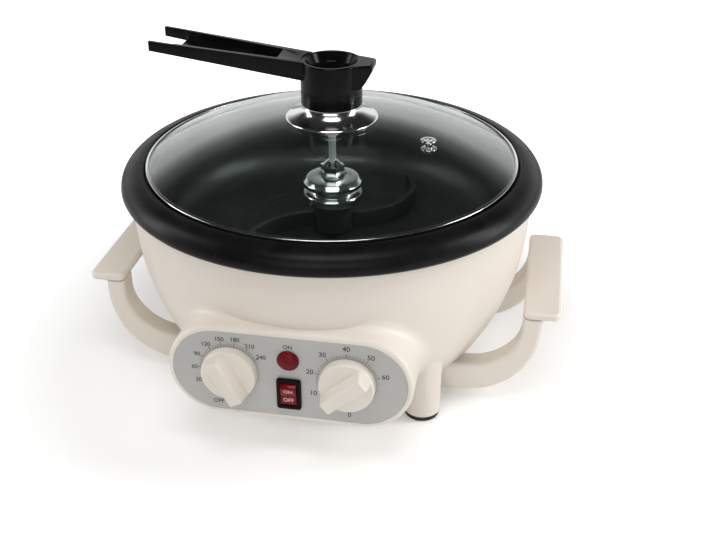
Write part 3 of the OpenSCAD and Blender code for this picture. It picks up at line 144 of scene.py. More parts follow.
class RoasterColours(bpy.types.PropertyGroup):
    """Colours of the finishes."""

    cream: bpy.props.FloatVectorProperty(
        name="Cream", description="Moulded body, grips and dials", subtype="COLOR",
        default=(0.775, 0.715, 0.640), min=0, max=1)
    cream_shade: bpy.props.FloatVectorProperty(
        name="Cream shade", description="Slightly yellowed patches of the cream moulding", subtype="COLOR",
        default=(0.745, 0.675, 0.590), min=0, max=1)
    fascia: bpy.props.FloatVectorProperty(
        name="Fascia grey", description="Lacquered plate behind the dials", subtype="COLOR",
        default=(0.475, 0.466, 0.446), min=0, max=1)
    ink: bpy.props.FloatVectorProperty(
        name="Print", description="Printed numbers and lines", subtype="COLOR", default=(0.06, 0.06, 0.06),
        min=0, max=1)
    rim: bpy.props.FloatVectorProperty(
        name="Rim black", description="Satin black rim ring", subtype="COLOR",
        default=(0.005, 0.005, 0.0052), min=0, max=1)
    handle: bpy.props.FloatVectorProperty(
        name="Handle black", description="Glossy black lid handle", subtype="COLOR",
        default=(0.003, 0.003, 0.0032), min=0, max=1)
    pan: bpy.props.FloatVectorProperty(
        name="Pan", description="Non-stick coat of the pan", subtype="COLOR",
        default=(0.012, 0.012, 0.0126), min=0, max=1)
    lens: bpy.props.FloatVectorProperty(
        name="Lens red", description="Lamp lens", subtype="COLOR", default=(0.16, 0.0032, 0.0075), min=0,
        max=1)
    rocker: bpy.props.FloatVectorProperty(
        name="Rocker red", description="Rocker of the switch", subtype="COLOR",
        default=(0.16, 0.0025, 0.0045), min=0, max=1)
    glass: bpy.props.FloatVectorProperty(
        name="Glass", description="Tempered glass of the lid", subtype="COLOR",
        default=(0.90, 0.965, 0.935), min=0, max=1)


class RoasterStage(bpy.types.PropertyGroup):
    """Camera, floor and lamps."""

    camera_place: bpy.props.FloatVectorProperty(
        name="Camera place", description="Where the camera stands", subtype="TRANSLATION", unit="LENGTH",
        default=(0.14195, -0.67796, 0.462))
    camera_turn: bpy.props.FloatVectorProperty(
        name="Camera turn", description="How the camera is turned", subtype="EULER", unit="ROTATION",
        default=(math.radians(60.38), 0, math.radians(10.2)))
    lens: bpy.props.FloatProperty(
        name="Lens", description="Focal length in millimetres on a 36 mm sensor", default=53.2, min=10,
        max=200)
    left_power: bpy.props.FloatProperty(
        name="Left lamp", description="Power of the tall soft lamp on the left", default=3.4, unit="POWER")
    right_power: bpy.props.FloatProperty(
        name="Right lamp", description="Power of the tall soft lamp on the right", default=6.5,
        unit="POWER")
    front_power: bpy.props.FloatProperty(
        name="Front lamp", description="Power of the wide soft lamp above the camera", default=7,
        unit="POWER")
    top_power: bpy.props.FloatProperty(
        name="Top lamp", description="Power of the soft lamp above the front", default=6, unit="POWER")
    room_level: bpy.props.FloatProperty(
        name="Room level", description="Strength of the even light from all round", default=0.3, min=0,
        max=2)
    floor: bpy.props.FloatVectorProperty(
        name="Floor", description="Colour of the floor", subtype="COLOR", default=(0.92, 0.92, 0.92),
        min=0, max=1)


# Places and outlines

def pot(r, z, turn=0.0):
    """Point at a radius and a height in millimetres, around the pot's upright axis."""
    return Vector((r * MM * math.cos(turn), AXIS_Y + r * MM * math.sin(turn), z * MM))


def front(x, z, out):
    """Point to the right of the axis, at a height, and out in front of the axis, in millimetres."""
    return Vector((x * MM, AXIS_Y - out * MM, z * MM))


def eased(corners, steps=5, closed=True):
    """Outline with its corners rounded: each corner is x, y and a radius, all in millimetres."""
    line = []
    count = len(corners)
    for i, (x, y, radius) in enumerate(corners):
        here = Vector((x, y))
        if radius <= 0 or (not closed and i in (0, count - 1)):
            line.append((x, y))
            continue
        back = Vector(corners[i - 1][:2]) - here
        ahead = Vector(corners[(i + 1) % count][:2]) - here
        half = back.angle(ahead) / 2
        reach = min(radius / math.tan(half), back.length * 0.49, ahead.length * 0.49)
        radius = reach * math.tan(half)
        middle = here + (back.normalized() + ahead.normalized()).normalized() * (radius / math.sin(half))
        first = here + back.normalized() * reach - middle
        sweep = first.angle_signed(here + ahead.normalized() * reach - middle)
        for k in range(steps + 1):
            arm = first.copy()
            arm.rotate(Matrix.Rotation(-sweep * k / steps, 2))
            line.append(tuple(middle + arm))
    return line


def obround(width, height, middle_z, steps=28):
    """Outline with two round ends, in X and Z."""
    r = height / 2
    side = width / 2 - r
    turns = [-math.pi / 2 + math.pi * i / steps for i in range(steps + 1)]
    line = [(side + r * math.cos(a), middle_z + r * math.sin(a)) for a in turns]
    return line + [(-x, 2 * middle_z - z) for x, z in line]


def bend(x, z, across, down, steps):
    """Quarter of an ellipse, from straight below a point round to its outer side."""
    turns = [math.pi / 2 * i / steps for i in range(steps + 1)]
    return [(x + across * math.sin(a), z - down * math.cos(a)) for a in turns]


def spoke(turn, length):
    """Vector of a length at an angle in degrees, in X and Z."""
    return Vector((math.cos(math.radians(turn)), math.sin(math.radians(turn)))) * length


def box_mm(node):
    """Corners of a node's box, in millimetres."""
    low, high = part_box(node)
    return low / MM, high / MM


def bowl_r(z):
    """Outer radius of the bowl at a height."""
    fullness = bpy.context.scene.roaster_sizes.bowl_fullness
    up = min(max((z - BOWL_FOOT_Z) / (BOWL_TOP_Z - BOWL_FOOT_Z), 0), 1)
    return BOWL_FOOT_R + (BOWL_TOP_R - BOWL_FOOT_R) * (1 - (1 - up) ** fullness)


def bowl_curve(grow=0.0, steps=44):
    """Radii and heights up the bowl's outer side, moved out by a distance."""
    heights = [BOWL_FOOT_Z + (BOWL_TOP_Z - BOWL_FOOT_Z) * i / steps for i in range(steps + 1)]
    return [(bowl_r(z) + grow, z) for z in heights]


def dome_z(r):
    """Height of the glass dome's top at a radius."""
    edge_z = GLASS_LOW.z / MM + GLASS_T
    ball = (GLASS_R ** 2 + DOME_RISE ** 2) / (2 * DOME_RISE)
    return edge_z + math.sqrt(ball ** 2 - r ** 2) - math.sqrt(ball ** 2 - GLASS_R ** 2)


# Modelling moves

def settle():
    """Leave edit mode and deselect everything."""
    if bpy.context.mode != "OBJECT":
        bpy.ops.object.mode_set(mode="OBJECT")
    bpy.ops.object.select_all(action="DESELECT")


def pick(*pieces):
    """Select only these pieces, the first one active."""
    settle()
    for piece in pieces:
        piece.select_set(True)
    bpy.context.view_layer.objects.active = pieces[0]


def trace(name, points):
    """Draw a plane down to one point and extrude that point along a line, which stays in edit mode."""
    settle()
    bpy.ops.mesh.primitive_plane_add(size=0.01, location=points[0])
    piece = bpy.context.object
    piece.name = name
    bpy.ops.object.mode_set(mode="EDIT")
    bpy.ops.mesh.select_mode(type="VERT")
    bpy.ops.mesh.select_all(action="SELECT")
    bpy.ops.mesh.merge(type="CENTER")
    for here, there in zip(points, points[1:]):
        bpy.ops.mesh.extrude_vertices_move(TRANSFORM_OT_translate={"value": there - here})
    bpy.ops.mesh.select_all(action="SELECT")
    return piece


def close(piece, angle=32):
    """Merge what meets, turn faces outward, put the place into the mesh and smooth shallow edges."""
    bpy.ops.mesh.select_all(action="SELECT")
    bpy.ops.mesh.remove_doubles(threshold=0.000002)
    bpy.ops.mesh.normals_make_consistent(inside=False)
    bpy.ops.object.mode_set(mode="OBJECT")
    pick(piece)
    bpy.ops.object.transform_apply(location=True, rotation=True, scale=True)
    smooth(piece, angle)
    return piece


def smooth(piece, angle=32):
    """Shade shallow edges smooth and keep the others sharp."""
    pick(piece)
    bpy.ops.object.shade_smooth_by_angle(angle=math.radians(angle))


def turned(name, line, centre=(0, AXIS_Y, 0), axis=(0, 0, 1), steps=None, angle=32):
    """Piece turned on a lathe from a line of points."""
    piece = trace(name, line)
    steps = steps or bpy.context.scene.roaster_sizes.turn_steps
    bpy.ops.mesh.spin(steps=steps, angle=2 * math.pi, center=centre, axis=axis)
    return close(piece, angle)


def turned_pot(name, outline, steps=None, angle=32, closed=True):
    """Piece turned about the pot's axis from an outline of radii and heights."""
    line = [pot(r, z) for r, z in outline]
    return turned(name, line + line[:1] if closed else line, steps=steps, angle=angle)


def turned_front(name, outline, x, z, steps=64, angle=32, closed=True):
    """Piece turned about a line that looks out of the front, from radii and distances from the axis."""
    line = [front(x + r, z, out) for r, out in outline]
    return turned(
        name, line + line[:1] if closed else line, centre=front(x, z, 0), axis=(0, 1, 0), steps=steps,
        angle=angle)


def turned_upright(name, outline, steps, closed=True, middle=Vector()):
    """Piece turned about an upright axis through a point, from radii and heights above that point."""
    line = [middle + Vector((r, 0, z)) * MM for r, z in outline]
    return turned(name, line + line[:1] if closed else line, centre=middle, steps=steps)


def slab(name, points, depth, angle=32):
    """Plate with a traced outline, extruded by a vector."""
    piece = trace(name, points)
    bpy.ops.mesh.edge_face_add()
    bpy.ops.mesh.extrude_region_move(TRANSFORM_OT_translate={"value": depth})
    return close(piece, angle)


def front_slab(name, outline, inside, outside):
    """Plate with an outline in X and Z, between two distances in front of the axis."""
    points = [front(x, z, inside) for x, z in outline]
    return slab(name, points, front(0, 0, outside) - front(0, 0, inside))


def work(piece, kind, **settings):
    """Add a modifier to a piece and apply it."""
    pick(piece)
    modifier = piece.modifiers.new(kind.title(), kind)
    for key, value in settings.items():
        setattr(modifier, key, value)
    bpy.ops.object.modifier_apply(modifier=modifier.name)
    return piece


def round_edges(piece, width, segments=3, angle=40, smooth_angle=32):
    """Round a piece's sharp edges."""
    work(
        piece, "BEVEL", width=width, segments=segments, limit_method="ANGLE",
        angle_limit=math.radians(angle), miter_outer="MITER_ARC")
    smooth(piece, smooth_angle)
    return piece


def cut(piece, cutter, keep=False):
    """Take a cutter's form out of a piece."""
    work(piece, "BOOLEAN", operation="DIFFERENCE", object=cutter, solver="EXACT")
    if not keep:
        remove(cutter)
    return piece


def fuse(piece, other):
    """Grow a piece by another one."""
    work(piece, "BOOLEAN", operation="UNION", object=other, solver="EXACT")
    remove(other)
    return piece


def remove(piece):
    """Delete a helper piece."""
    pick(piece)
    bpy.ops.object.delete()


def level(piece, height):
    """Cut a piece off flat at a height."""
    pick(piece)
    bpy.ops.object.mode_set(mode="EDIT")
    bpy.ops.mesh.select_all(action="SELECT")
    bpy.ops.mesh.bisect(plane_co=(0, 0, height), plane_no=(0, 0, 1), use_fill=True, clear_outer=True)
    settle()
    return piece


def join(pieces):
    """Join pieces into the first one."""
    pick(*pieces)
    bpy.ops.object.join()
    return pieces[0]


def copy_of(piece, name):
    """Copy of a piece with a mesh of its own."""
    pick(piece)
    bpy.ops.object.duplicate(linked=False)
    other = bpy.context.object
    other.name = name
    return other


def shifted(piece, move):
    """Move a piece and put the move into its mesh."""
    pick(piece)
    bpy.ops.transform.translate(value=move)
    bpy.ops.object.transform_apply(location=True, rotation=True, scale=True)
    return piece


def mirrored(piece, name):
    """Copy of a piece on the other side of the middle plane."""
    other = copy_of(piece, name)
    bpy.ops.transform.resize(value=(-1, 1, 1), center_override=(0, 0, 0))
    bpy.ops.object.transform_apply(location=True, rotation=True, scale=True)
    bpy.ops.object.mode_set(mode="EDIT")
    bpy.ops.mesh.select_all(action="SELECT")
    bpy.ops.mesh.normals_make_consistent(inside=False)
    settle()
    return other


def at_feet(piece):
    """Copies of a piece at the four feet; the piece itself is removed."""
    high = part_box("foot_pads")[1]
    x, y = high.x - FOOT_R * MM, high.y - AXIS_Y - FOOT_R * MM
    copies = []
    for side in (-1, 1):
        for end in (-1, 1):
            foot = copy_of(piece, f"{piece.name}_{len(copies)}")
            copies.append(shifted(foot, (side * x, AXIS_Y + end * y, 0)))
    remove(piece)
    return copies


def bowl_block():
    """Solid that fills the bowl and a hair more, to cut its neighbours with."""
    hair = 0.1
    line = [(0, BOWL_FOOT_Z - hair), (BOWL_FOOT_R + hair, BOWL_FOOT_Z - hair)]
    return turned_pot("bowl_block", line + bowl_curve(hair) + [(0, BOWL_TOP_Z)], closed=False)


def lettering(text, height):
    """Word as a thin mesh around the origin, facing up; the height is in millimetres."""
    size_of_capital, thickness, weight = 1.38, 0.00004, 0.00007
    settle()
    bpy.ops.object.text_add()
    letters = bpy.context.object
    letters.data.body = text
    letters.data.size = height * MM * size_of_capital
    letters.data.align_x = "CENTER"
    letters.data.align_y = "CENTER"
    letters.data.extrude = thickness
    letters.data.offset = weight
    bpy.ops.object.convert(target="MESH")
    return letters


def softened(node, name, width, segments=2, angle=40):
    """Copy of a CAD node, merged, cleared of the lines across its flats, and with its edges rounded."""
    piece = frame["nodes"][node].copy()
    piece.data = piece.data.copy()
    bpy.context.scene.collection.objects.link(piece)
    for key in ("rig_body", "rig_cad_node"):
        if key in piece:
            del piece[key]
    piece.parent = None
    piece.name = name
    piece.data.name = name
    pick(piece)
    bpy.ops.object.mode_set(mode="EDIT")
    bpy.ops.mesh.select_all(action="SELECT")
    bpy.ops.mesh.remove_doubles(threshold=0.000004)
    bpy.ops.mesh.dissolve_limited(angle_limit=math.radians(0.6))
    bpy.ops.object.mode_set(mode="OBJECT")
    return round_edges(piece, width, segments, angle)


def place(piece, body, slot, *nodes):
    """Give a finished piece its finish, its body and the CAD nodes that it stands for."""
    piece.data.name = piece.name
    piece.data.materials.clear()
    piece.data.materials.append(bpy.data.materials[FINISH_OF[slot]])
    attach(piece, body)
    if nodes:
        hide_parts(*nodes)
    return piece


def ink(piece, finish, body):
    """Give printed marks their ink and their body."""
    piece.data.materials.clear()
    piece.data.materials.append(bpy.data.materials[finish])
    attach(piece, body)


# Finishes

FINISH_OF = {
    "cream": "cream_moulding", "fascia": "fascia_lacquer", "zinc": "zinc_plate", "rubber": "foot_rubber",
    "rim_black": "rim_satin_black", "nonstick": "nonstick_coat", "bronze": "sintered_bronze",
    "element": "heater_sheath", "copper": "enamelled_winding", "magnet": "ferrite_magnet",
    "nylon": "natural_nylon", "steel": "brushed_steel", "chrome": "polished_chrome",
    "black_plastic": "switch_black", "handle_black": "handle_gloss_black", "lens_red": "lens_ribbed_red",
    "rocker_red": "rocker_satin_red", "wire_red": "lead_sleeving", "glass": "lid_glass_clear",
}


class Finish:
    """A material with one shader and the patterns that drive it, all on Object coordinates."""

    def __init__(self, name):
        self.material = bpy.data.materials.new(name)
        self.material.use_nodes = True
        self.tree = self.material.node_tree
        self.tree.nodes.clear()
        self.out = self.add("ShaderNodeOutputMaterial")
        self.shader = self.add("ShaderNodeBsdfPrincipled")
        self.link(self.shader.outputs["BSDF"], self.out.inputs["Surface"])
        self.coords = self.add("ShaderNodeTexCoord").outputs["Object"]

    def add(self, kind, **settings):
        """New node with these settings."""
        node = self.tree.nodes.new(kind)
        for key, value in settings.items():
            setattr(node, key, value)
        return node

    def link(self, source, target):
        """Join an output to an input."""
        self.tree.links.new(source, target)

    def set(self, **values):
        """Set constant values on the shader's own sockets."""
        for key, value in values.items():
            plain = isinstance(value, (int, float))
            self.shader.inputs[key.replace("_", " ")].default_value = value if plain else (*value, 1)

    def stretched(self, scale):
        """The piece's coordinates, stretched."""
        mapping = self.add("ShaderNodeMapping")
        mapping.inputs["Scale"].default_value = scale
        self.link(self.coords, mapping.inputs["Vector"])
        return mapping.outputs["Vector"]

    def noise(self, scale, detail=3.0, roughness=0.55, stretch=None):
        """Cloudy pattern, which may be stretched."""
        node = self.add("ShaderNodeTexNoise")
        node.inputs["Scale"].default_value = scale
        node.inputs["Detail"].default_value = detail
        node.inputs["Roughness"].default_value = roughness
        self.link(self.stretched(stretch) if stretch else self.coords, node.inputs["Vector"])
        return node.outputs[0]

    def cells(self, scale):
        """Pattern of small cells."""
        node = self.add("ShaderNodeTexVoronoi")
        node.inputs["Scale"].default_value = scale
        self.link(self.coords, node.inputs["Vector"])
        return node

    def ramp(self, value, stops):
        """Colours along a pattern: each stop is a place and a colour."""
        node = self.add("ShaderNodeValToRGB")
        elements = node.color_ramp.elements
        while len(elements) < len(stops):
            elements.new(0.5)
        for element, (at, colour) in zip(elements, stops):
            element.position = at
            element.color = (*colour, 1)
        self.link(value, node.inputs["Fac"])
        return node.outputs["Color"]

    def colour(self, value, stops):
        """Let a pattern drive the colour."""
        self.link(self.ramp(value, stops), self.shader.inputs["Base Color"])

    def spread(self, value, low, high, start=0.3, end=0.7):
        """Pattern's values between start and end, spread from low to high."""
        node = self.add("ShaderNodeMapRange")
        for key, number in (("From Min", start), ("From Max", end), ("To Min", low), ("To Max", high)):
            node.inputs[key].default_value = number
        self.link(value, node.inputs["Value"])
        return node.outputs["Result"]

    def roughness(self, value, low, high, start=0.3, end=0.7):
        """Let a pattern drive the roughness."""
        self.link(self.spread(value, low, high, start, end), self.shader.inputs["Roughness"])

    def bump(self, value, height, strength=1.0, under=None):
        """Let a pattern lift the surface, over an earlier bump if one is given."""
        node = self.add("ShaderNodeBump")
        node.inputs["Strength"].default_value = strength
        node.inputs["Distance"].default_value = height
        self.link(value, node.inputs["Height"])
        if under:
            self.link(under, node.inputs["Normal"])
        self.link(node.outputs["Normal"], self.shader.inputs["Normal"])
        return node.outputs["Normal"]


def near(colour, factor):
    """A colour made lighter or darker."""
    return tuple(min(c * factor, 1.0) for c in colour)


class ROASTER_OT_finishes(bpy.types.Operator):
    """Make every finish and give the CAD nodes theirs"""

    bl_idname = "roaster.finishes"
    bl_label = "Finishes"

    def execute(self, context):
        colours = context.scene.roaster_colours
        self.cream(colours)
        self.rim_black(colours)
        self.handle_black(colours)
        self.switch_black()
        self.rubber()
        self.nonstick(colours)
        self.fascia(colours)
        self.chrome()
        self.steel()
        self.zinc()
        self.glass(colours)
        self.lens_red(colours)
        self.rocker_red(colours)
        self.print_inks(colours)
        self.hidden_works()
        for name, node in frame["nodes"].items():
            finish = bpy.data.materials[FINISH_OF[SLOT_OF[name]]]
            if not node.material_slots:
                node.data.materials.append(finish)
            for slot in node.material_slots:
                slot.material = finish
        return {"FINISHED"}

    def cream(self, colours):
        """Moulded plastic, slightly yellowed in patches, with a fine grain."""
        f = Finish("cream_moulding")
        f.colour(f.noise(9, 5), [(0.32, colours.cream_shade), (0.62, colours.cream)])
        f.roughness(f.noise(34, 6, 0.6), 0.30, 0.42)
        f.bump(f.noise(1500, 2), 0.00006, 0.22, f.bump(f.noise(22, 3), 0.0008, 0.05))
        f.set(Specular_IOR_Level=0.5, Coat_Weight=0.12, Coat_Roughness=0.18)

    def rim_black(self, colours):
        """Satin black with a fine grain."""
        f = Finish("rim_satin_black")
        f.colour(f.noise(40, 6, 0.65), [(0.4, near(colours.rim, 0.8)), (0.68, near(colours.rim, 1.9))])
        f.roughness(f.noise(55, 6), 0.27, 0.40)
        f.bump(f.noise(1900, 2), 0.00006, 0.35)
        f.set(Specular_IOR_Level=0.14)

    def handle_black(self, colours):
        """Glossy black with duller patches."""
        f = Finish("handle_gloss_black")
        f.colour(f.noise(60, 5), [(0.4, colours.handle), (0.7, near(colours.handle, 2.2))])
        f.roughness(f.noise(48, 6, 0.65), 0.08, 0.20)
        f.bump(f.noise(900, 2), 0.00004, 0.15)
        f.set(Specular_IOR_Level=0.12)

    def switch_black(self):
        """Dull black of the switch's bezel."""
        f = Finish("switch_black")
        f.colour(f.noise(80, 4), [(0.4, (0.004, 0.0022, 0.0022)), (0.7, (0.008, 0.005, 0.005))])
        f.roughness(f.noise(120, 4), 0.35, 0.5)
        f.bump(f.noise(2200, 2), 0.00005, 0.3)
        f.set(Specular_IOR_Level=0.08)

    def rubber(self):
        """Rough dark rubber."""
        f = Finish("foot_rubber")
        f.colour(f.noise(120, 5), [(0.35, (0.010, 0.010, 0.010)), (0.7, (0.032, 0.031, 0.03))])
        f.roughness(f.noise(90, 5), 0.68, 0.88)
        f.bump(f.noise(1400, 3), 0.0001, 0.5)

    def nonstick(self, colours):
        """Dark coat with pale specks."""
        f = Finish("nonstick_coat")
        cells = f.cells(620)
        f.colour(cells.outputs["Distance"], [(0.10, near(colours.pan, 2.6)), (0.26, colours.pan)])
        f.roughness(f.noise(30, 6), 0.30, 0.46)
        f.bump(f.noise(1100, 3), 0.00008, 0.4, f.bump(f.noise(45, 3), 0.0006, 0.08))

    def fascia(self, colours):
        """Grey lacquer over a plate brushed from side to side."""
        f = Finish("fascia_lacquer")
        f.colour(
            f.noise(60, 6, 0.7, (1, 30, 30)),
            [(0.3, near(colours.fascia, 0.93)), (0.7, near(colours.fascia, 1.05))])
        f.roughness(f.noise(40, 5), 0.40, 0.52)
        f.bump(f.noise(60, 4, 0.6, (1, 40, 40)), 0.00004, 0.25)
        f.set(Metallic=0.15, Specular_IOR_Level=0.45)

    def chrome(self):
        """Bright plating with a slight wave."""
        f = Finish("polished_chrome")
        f.colour(f.noise(30, 5), [(0.3, (0.70, 0.71, 0.72)), (0.7, (0.80, 0.81, 0.82))])
        f.roughness(f.noise(70, 6, 0.7), 0.10, 0.20)
        f.bump(f.noise(55, 3), 0.0004, 0.04)
        f.set(Metallic=1.0)

    def steel(self):
        """Plain steel with fine lines around it."""
        f = Finish("brushed_steel")
        f.colour(f.noise(45, 5), [(0.3, (0.58, 0.58, 0.58)), (0.7, (0.70, 0.70, 0.705))])
        f.roughness(f.noise(50, 6, 0.7), 0.3, 0.46)
        f.bump(f.noise(120, 4, 0.6, (1, 1, 24)), 0.00004, 0.35)
        f.set(Metallic=0.65)

    def zinc(self):
        """Spangled zinc coat."""
        f = Finish("zinc_plate")
        cells = f.cells(160)
        f.colour(cells.outputs["Color"], [(0.2, (0.42, 0.44, 0.45)), (0.8, (0.58, 0.60, 0.61))])
        f.roughness(cells.outputs["Distance"], 0.34, 0.5, 0.0, 0.6)
        f.bump(f.noise(500, 3), 0.00005, 0.3)
        f.set(Metallic=1.0)

    def glass(self, colours):
        """Clear glass that lets the lamps' light through."""
        f = Finish("lid_glass_clear")
        f.roughness(f.noise(26, 6, 0.6), 0.0, 0.03, 0.45, 0.75)
        f.bump(f.noise(14, 2), 0.0012, 0.03)
        f.set(Base_Color=colours.glass, IOR=1.48, Transmission_Weight=1.0)
        clear = f.add("ShaderNodeBsdfTransparent")
        clear.inputs["Color"].default_value = (*colours.glass, 1)
        path = f.add("ShaderNodeLightPath")
        mix = f.add("ShaderNodeMixShader")
        f.link(path.outputs["Is Shadow Ray"], mix.inputs["Fac"])
        f.link(f.shader.outputs["BSDF"], mix.inputs[1])
        f.link(clear.outputs["BSDF"], mix.inputs[2])
        f.link(mix.outputs["Shader"], f.out.inputs["Surface"])

    def lens_red(self, colours):
        """Dark red lens with a cell pattern."""
        f = Finish("lens_ribbed_red")
        cells = f.cells(900)
        f.colour(
            cells.outputs["Distance"], [(0.1, near(colours.lens, 1.5)), (0.7, near(colours.lens, 0.6))])
        f.roughness(f.noise(200, 4), 0.08, 0.2)
        f.bump(cells.outputs["Distance"], 0.0003, 0.5)
        f.set(IOR=1.45, Specular_IOR_Level=0.2)

    def rocker_red(self, colours):
        """Satin red of the rocker."""
        f = Finish("rocker_satin_red")
        f.colour(f.noise(90, 4), [(0.3, near(colours.rocker, 0.8)), (0.7, near(colours.rocker, 1.25))])
        f.roughness(f.noise(150, 5), 0.16, 0.3)
        f.bump(f.noise(1300, 2), 0.00004, 0.2)
        f.set(Specular_IOR_Level=0.2)

    def print_inks(self, colours):
        """Dark ink of the plate and pale ink of the rocker, both with thin spots."""
        inks = {
            "printed_ink": (near(colours.ink, 0.7), near(colours.ink, 1.6), 0.45, 0.6),
            "pale_ink": ((0.62, 0.36, 0.37), (0.75, 0.50, 0.50), 0.4, 0.55),
        }
        for name, (dark, light, low, high) in inks.items():
            f = Finish(name)
            f.colour(f.noise(900, 4), [(0.35, dark), (0.7, light)])
            f.roughness(f.noise(400, 3), low, high)
            f.bump(f.noise(2500, 2), 0.00002, 0.3)

    def hidden_works(self):
        """Finishes of the works inside: two colours, two roughnesses, metal share and grain."""
        plain = {
            "sintered_bronze": ((0.36, 0.22, 0.09), (0.50, 0.33, 0.15), 0.38, 0.55, 1.0, 700),
            "heater_sheath": ((0.10, 0.085, 0.08), (0.22, 0.18, 0.16), 0.42, 0.6, 0.9, 260),
            "enamelled_winding": ((0.40, 0.13, 0.05), (0.55, 0.22, 0.09), 0.25, 0.4, 0.8, 900),
            "ferrite_magnet": ((0.045, 0.045, 0.048), (0.085, 0.085, 0.09), 0.5, 0.68, 0.2, 500),
            "natural_nylon": ((0.66, 0.64, 0.58), (0.76, 0.75, 0.70), 0.42, 0.55, 0.0, 800),
            "lead_sleeving": ((0.36, 0.015, 0.012), (0.50, 0.03, 0.025), 0.38, 0.5, 0.0, 600),
        }
        for name, (dark, light, low, high, metal, grain) in plain.items():
            f = Finish(name)
            f.colour(f.noise(70, 5), [(0.3, dark), (0.7, light)])
            f.roughness(f.noise(110, 5), low, high)
            f.bump(f.noise(grain, 3), 0.00008, 0.4)
            f.set(Metallic=metal)


# The stage

# Place, width and height of each lamp
LAMPS = {
    "left": ((-0.98, -0.06, 0.50), 0.26, 0.9),
    "right": ((1.0, 0.08, 0.50), 0.26, 0.9),
    "front": ((0.15, -1.5, 0.85), 1.4, 0.9),
    "top": ((0.10, -0.55, 1.45), 0.8, 0.5),
}


